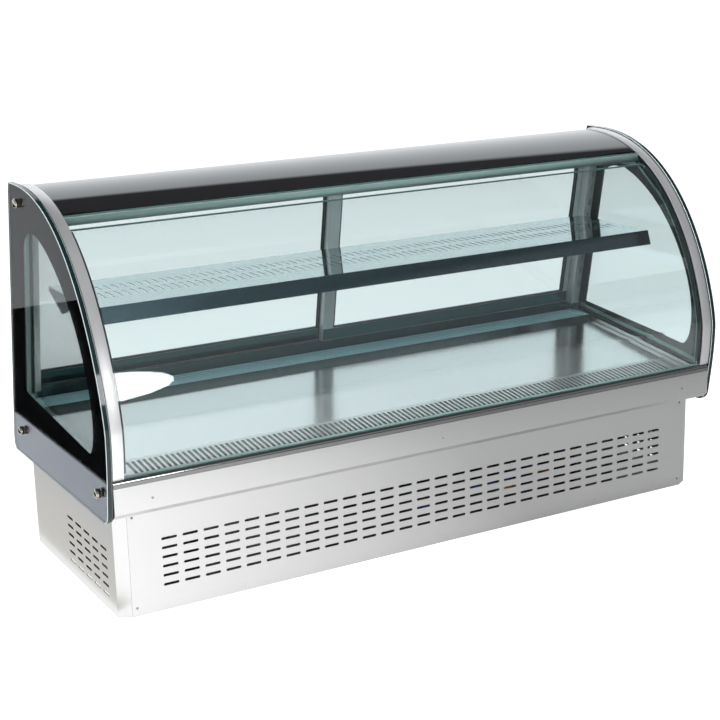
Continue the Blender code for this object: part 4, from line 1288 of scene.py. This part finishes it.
# ---- controls ----
def build_frame(bm, low, high, rim):
    """A rectangular frame of four bars between two corners; it is open along Y."""
    for near, far in ((low, (high[0], high[1], low[2] + rim)),
                      ((low[0], low[1], high[2] - rim), high),
                      ((low[0], low[1], low[2] + rim), (low[0] + rim, high[1], high[2] - rim)),
                      ((high[0] - rim, low[1], low[2] + rim), (high[0], high[1], high[2] - rim))):
        add_box(bm, near, far, 0.0006)


def build_thermostat(face):
    """Bezel, dark window and four keys of the thermostat."""
    x_low, x_high, z_low, z_high = THERMOSTAT
    bm = bmesh.new()
    build_frame(bm, (x_low, face, z_low), (x_high, face + 0.0040, z_high), 0.004)
    add_box(bm, (x_low + 0.004, face, z_low + 0.004), (x_high - 0.004, face + 0.0018, z_high - 0.004))
    new_piece("thermostat_bezel", bm, ["black_moulding"])
    bm = bmesh.new()
    add_box(bm, (x_low + 0.034, face + 0.0019, z_low + 0.009),
            (x_high - 0.007, face + 0.0026, z_high - 0.007), 0.0003, 1)
    new_piece("thermostat_window", bm, ["dark_window"])
    bm = bmesh.new()
    for x in (x_low + 0.008, x_low + 0.020):
        for z in (z_low + 0.008, z_low + 0.018):
            add_box(bm, (x, face + 0.0019, z), (x + 0.009, face + 0.0030, z + 0.007), 0.0006)
    new_piece("thermostat_keys", bm, ["grey_foam_skin"])


def build_switch_rims(face):
    """Raised rims round the two rocker switches."""
    bm = bmesh.new()
    for node in ("power_switch", "light_switch"):
        low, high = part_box(node)
        x, z = (low[0] + high[0]) / 2, SWITCH_HEIGHT
        build_frame(bm, (x - 0.0140, face, z - 0.0180), (x + 0.0140, face + 0.0020, z + 0.0180), 0.0034)
    new_piece("switch_rims", bm, ["black_moulding"])


class CASE_OT_controls(bpy.types.Operator):
    """Build the thermostat, the switch rims, the panel's screws and the gland's nut"""
    bl_idname = "case.controls"
    bl_label = "Controls"

    def execute(self, context):
        low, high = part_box("control_panel")
        face = high[1] + GAP
        radius = context.scene.case_sizes.screw_radius * 0.8
        build_thermostat(face)
        build_switch_rims(face)
        bm = bmesh.new()
        for x in (low[0] + 0.007, high[0] - 0.007):
            for z in (low[2] + 0.007, high[2] - 0.007):
                screw(bm, (x, face - GAP, z), Y, radius, 7 * x + 5 * z)
        new_piece("panel_screws", bm, SCREW_FINISHES)
        low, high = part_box("cable_gland")
        place = turn_to(Y, ((low[0] + high[0]) / 2, low[1] + 0.0064, (low[2] + high[2]) / 2))
        bm = bmesh.new()
        add_turned(bm, [(0.0085, 0.0), (0.0118, 0.0), (0.0124, 0.0008), (0.0124, 0.0062), (0.0116, 0.0070),
                        (0.0085, 0.0070)], place, 6)
        new_piece("gland_nut", bm, ["black_moulding"], smooth=False)
        return {"FINISHED"}


# ---- stage ----
def aimed(name, data, place, target, roll=0.0):
    """Put a lamp or a camera at place, looking at target."""
    made = bpy.data.objects.new(name, data)
    bpy.context.scene.collection.objects.link(made)
    way = (Vector(target) - Vector(place)).to_track_quat("-Z", "Y")
    made.matrix_world = (Matrix.Translation(place) @ way.to_matrix().to_4x4()
                         @ Matrix.Rotation(roll, 4, "Z"))
    return made


def softbox(name, place, target, size, power, shape="RECTANGLE", mirrored=False):
    """An area lamp; only a mirrored one shows in metal and in glass."""
    data = bpy.data.lights.new(name, "AREA")
    data.shape = shape
    data.size, data.size_y = size
    data.energy = power
    lamp = aimed(name, data, place, target)
    lamp.visible_glossy = mirrored
    lamp.visible_transmission = mirrored


def build_world():
    """A pale room, brighter at the rear, with a dark ceiling and front right corner; plain white backdrop."""
    world = bpy.data.worlds.new("studio")
    bpy.context.scene.world = world
    world.use_nodes = True
    tree = world.node_tree
    tree.nodes.clear()
    x, y, z = split(tree, tree.nodes.new("ShaderNodeTexCoord").outputs["Generated"])
    up = ramp(tree, z, 0.60, 0.64, 0.0, 1.0)
    back = ramp(tree, y, -0.60, 0.20, 0.74, 1.0)
    ceiling = ranged(tree, math_node(tree, "MULTIPLY", up, back), 1.0, 0.05)
    right = ramp(tree, x, -0.10, 0.80, 0.0, 1.0)
    front = ramp(tree, y, -0.35, 0.15, 1.0, 0.0)
    corner = ranged(tree, math_node(tree, "MULTIPLY", right, front), 1.0, 0.20)
    ahead = ramp(tree, y, -0.30, 0.20, 0.55, 1.25)
    level = math_node(tree, "MULTIPLY", math_node(tree, "MULTIPLY", ceiling, corner), ahead)
    room = tree.nodes.new("ShaderNodeBackground")
    feed(tree, room, {"Color": (0.93, 0.97, 1.0, 1.0), "Strength": level})
    plain = tree.nodes.new("ShaderNodeBackground")
    feed(tree, plain, {"Color": (1.0, 1.0, 1.0, 1.0), "Strength": 1.05})
    path = tree.nodes.new("ShaderNodeLightPath")
    choose_surface(tree, path.outputs["Is Camera Ray"], room, plain, tree.nodes.new("ShaderNodeOutputWorld"))


def flat_sheet(name, size, matrix, finish):
    """A flat square of the studio; size is half its side before the matrix."""
    bm = bmesh.new()
    bmesh.ops.create_grid(bm, x_segments=1, y_segments=1, size=size, matrix=matrix)
    mesh = bpy.data.meshes.new(name)
    bm.to_mesh(mesh)
    bm.free()
    mesh.materials.append(bpy.data.materials[finish])
    sheet = bpy.data.objects.new(name, mesh)
    bpy.context.scene.collection.objects.link(sheet)
    return sheet


def build_floor():
    """Pale floor, white to the eye and through glass; in metal its left end is the brighter one."""
    tree, shader = new_material("pale_floor")
    path = tree.nodes.new("ShaderNodeLightPath")
    direct = math_node(tree, "LESS_THAN", path.outputs["Glossy Depth"], 0.5)
    through = math_node(tree, "MULTIPLY", path.outputs["Is Transmission Ray"], direct)
    x, y, _ = split(tree, object_vector(tree))
    slant = math_node(tree, "ADD", x, math_node(tree, "MULTIPLY", y, 0.3))
    mirrored = ramp(tree, slant, -0.85, 0.20, 1.05, 0.10)
    glow = mixed(tree, path.outputs["Is Camera Ray"], mixed(tree, through, mirrored, 0.78), 0.90)
    feed(tree, shader, {"Roughness": 0.7, "Base Color": (0.42, 0.42, 0.42, 1.0),
                        "Emission Color": (1.0, 1.0, 1.0, 1.0), "Emission Strength": glow})
    flat_sheet("floor", 30.0, Matrix.Identity(4), "pale_floor")


def build_card(name, finish, base, glow, middle, span):
    """A card on the floor beside the case, which only mirrors see."""
    tree, shader = new_material(finish)
    feed(tree, shader, {"Base Color": (0.0, 0.0, 0.0, 1.0), "Specular IOR Level": 0.0, "Roughness": 1.0,
                        "Emission Color": (*base, 1.0), "Emission Strength": glow})
    path = tree.nodes.new("ShaderNodeLightPath")
    shown = math_node(tree, "GREATER_THAN", path.outputs["Glossy Depth"], 0.5)
    choose_surface(tree, shown, tree.nodes.new("ShaderNodeBsdfTransparent"), shader,
                   tree.nodes["Material Output"])
    card = flat_sheet(name, 0.5, Matrix.Translation(middle) @ Matrix.Diagonal((*span, 1.0, 1.0)), finish)
    card.visible_camera = False
    card.visible_diffuse = False
    card.visible_shadow = False


class CASE_OT_stage(bpy.types.Operator):
    """Build the room, the floor, the cards that only mirrors see, the softboxes and the camera"""
    bl_idname = "case.stage"
    bl_label = "Studio"

    def execute(self, context):
        studio = context.scene.case_studio
        build_world()
        build_floor()
        build_card("flag", "black_cloth", (0.006, 0.006, 0.006), 0.0, (-2.53, 1.10, 0.004), (3.0, 2.8))
        build_card("far", "grey_card", (0.30, 0.31, 0.32), 1.0, (-4.53, 7.0, 0.004), (7.0, 9.0))
        build_card("side", "warm_card", (0.80, 0.78, 0.74), 1.0, (-0.83, 1.10, 0.004), (0.18, 2.8))
        build_card("strip", "white_card", (0.84, 0.90, 1.00), 1.0, (-0.975, 1.10, 0.004), (0.11, 2.8))
        softbox("key", (-2.2, -2.6, 2.6), (0, 0, 0.4), (1.6, 2.0), studio.key_power)
        softbox("overhead", (0.2, -0.9, 2.7), (0, 0, 0.3), (2.8, 1.4), studio.top_power)
        softbox("round", (0.40, -3.6, 1.63), (-0.6, -0.3, 0.42), (0.72, 0.8), studio.round_power, "ELLIPSE",
                True)
        data = bpy.data.cameras.new("view")
        data.lens = studio.view_lens
        data.sensor_width = 36.0
        place = Vector((-1.6849, -2.9342, 1.2883))
        target = Vector((-0.0768, -0.0757, 0.3923))
        context.scene.camera = aimed("view", data, place, target, studio.view_roll)
        context.scene.view_settings.view_transform = "Standard"
        return {"FINISHED"}


# ---- panel ----
ORDER = ("finishes", "housing", "fascia", "glass", "trims", "bolts", "shelf", "deck", "doors", "machine",
         "controls", "stage")


class CASE_PT_build(bpy.types.Panel):
    """The steps of the display case in the order in which they are built"""
    bl_idname = "CASE_PT_build"
    bl_label = "Display Case"
    bl_space_type = "VIEW_3D"
    bl_region_type = "UI"
    bl_category = "Display Case"

    def draw(self, context):
        for step in ORDER:
            self.layout.operator("case." + step)
        for group in (context.scene.case_sizes, context.scene.case_finishes, context.scene.case_studio):
            box = self.layout.box()
            for key in type(group).__annotations__:
                box.prop(group, key)


CLASSES = (CaseSizes, CaseFinishes, CaseStudio, CASE_OT_finishes, CASE_OT_housing, CASE_OT_fascia,
           CASE_OT_glass, CASE_OT_trims, CASE_OT_bolts, CASE_OT_shelf, CASE_OT_deck, CASE_OT_doors,
           CASE_OT_machine, CASE_OT_controls, CASE_OT_stage, CASE_PT_build)


def register():
    for item in CLASSES:
        bpy.utils.register_class(item)
    bpy.types.Scene.case_sizes = bpy.props.PointerProperty(type=CaseSizes)
    bpy.types.Scene.case_finishes = bpy.props.PointerProperty(type=CaseFinishes)
    bpy.types.Scene.case_studio = bpy.props.PointerProperty(type=CaseStudio)


def unregister():
    del bpy.types.Scene.case_studio
    del bpy.types.Scene.case_finishes
    del bpy.types.Scene.case_sizes
    for item in reversed(CLASSES):
        bpy.utils.unregister_class(item)


def main():
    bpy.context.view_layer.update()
    register()
    for step in ORDER:
        getattr(bpy.ops.case, step)()


if __name__ == "__main__":
    main()
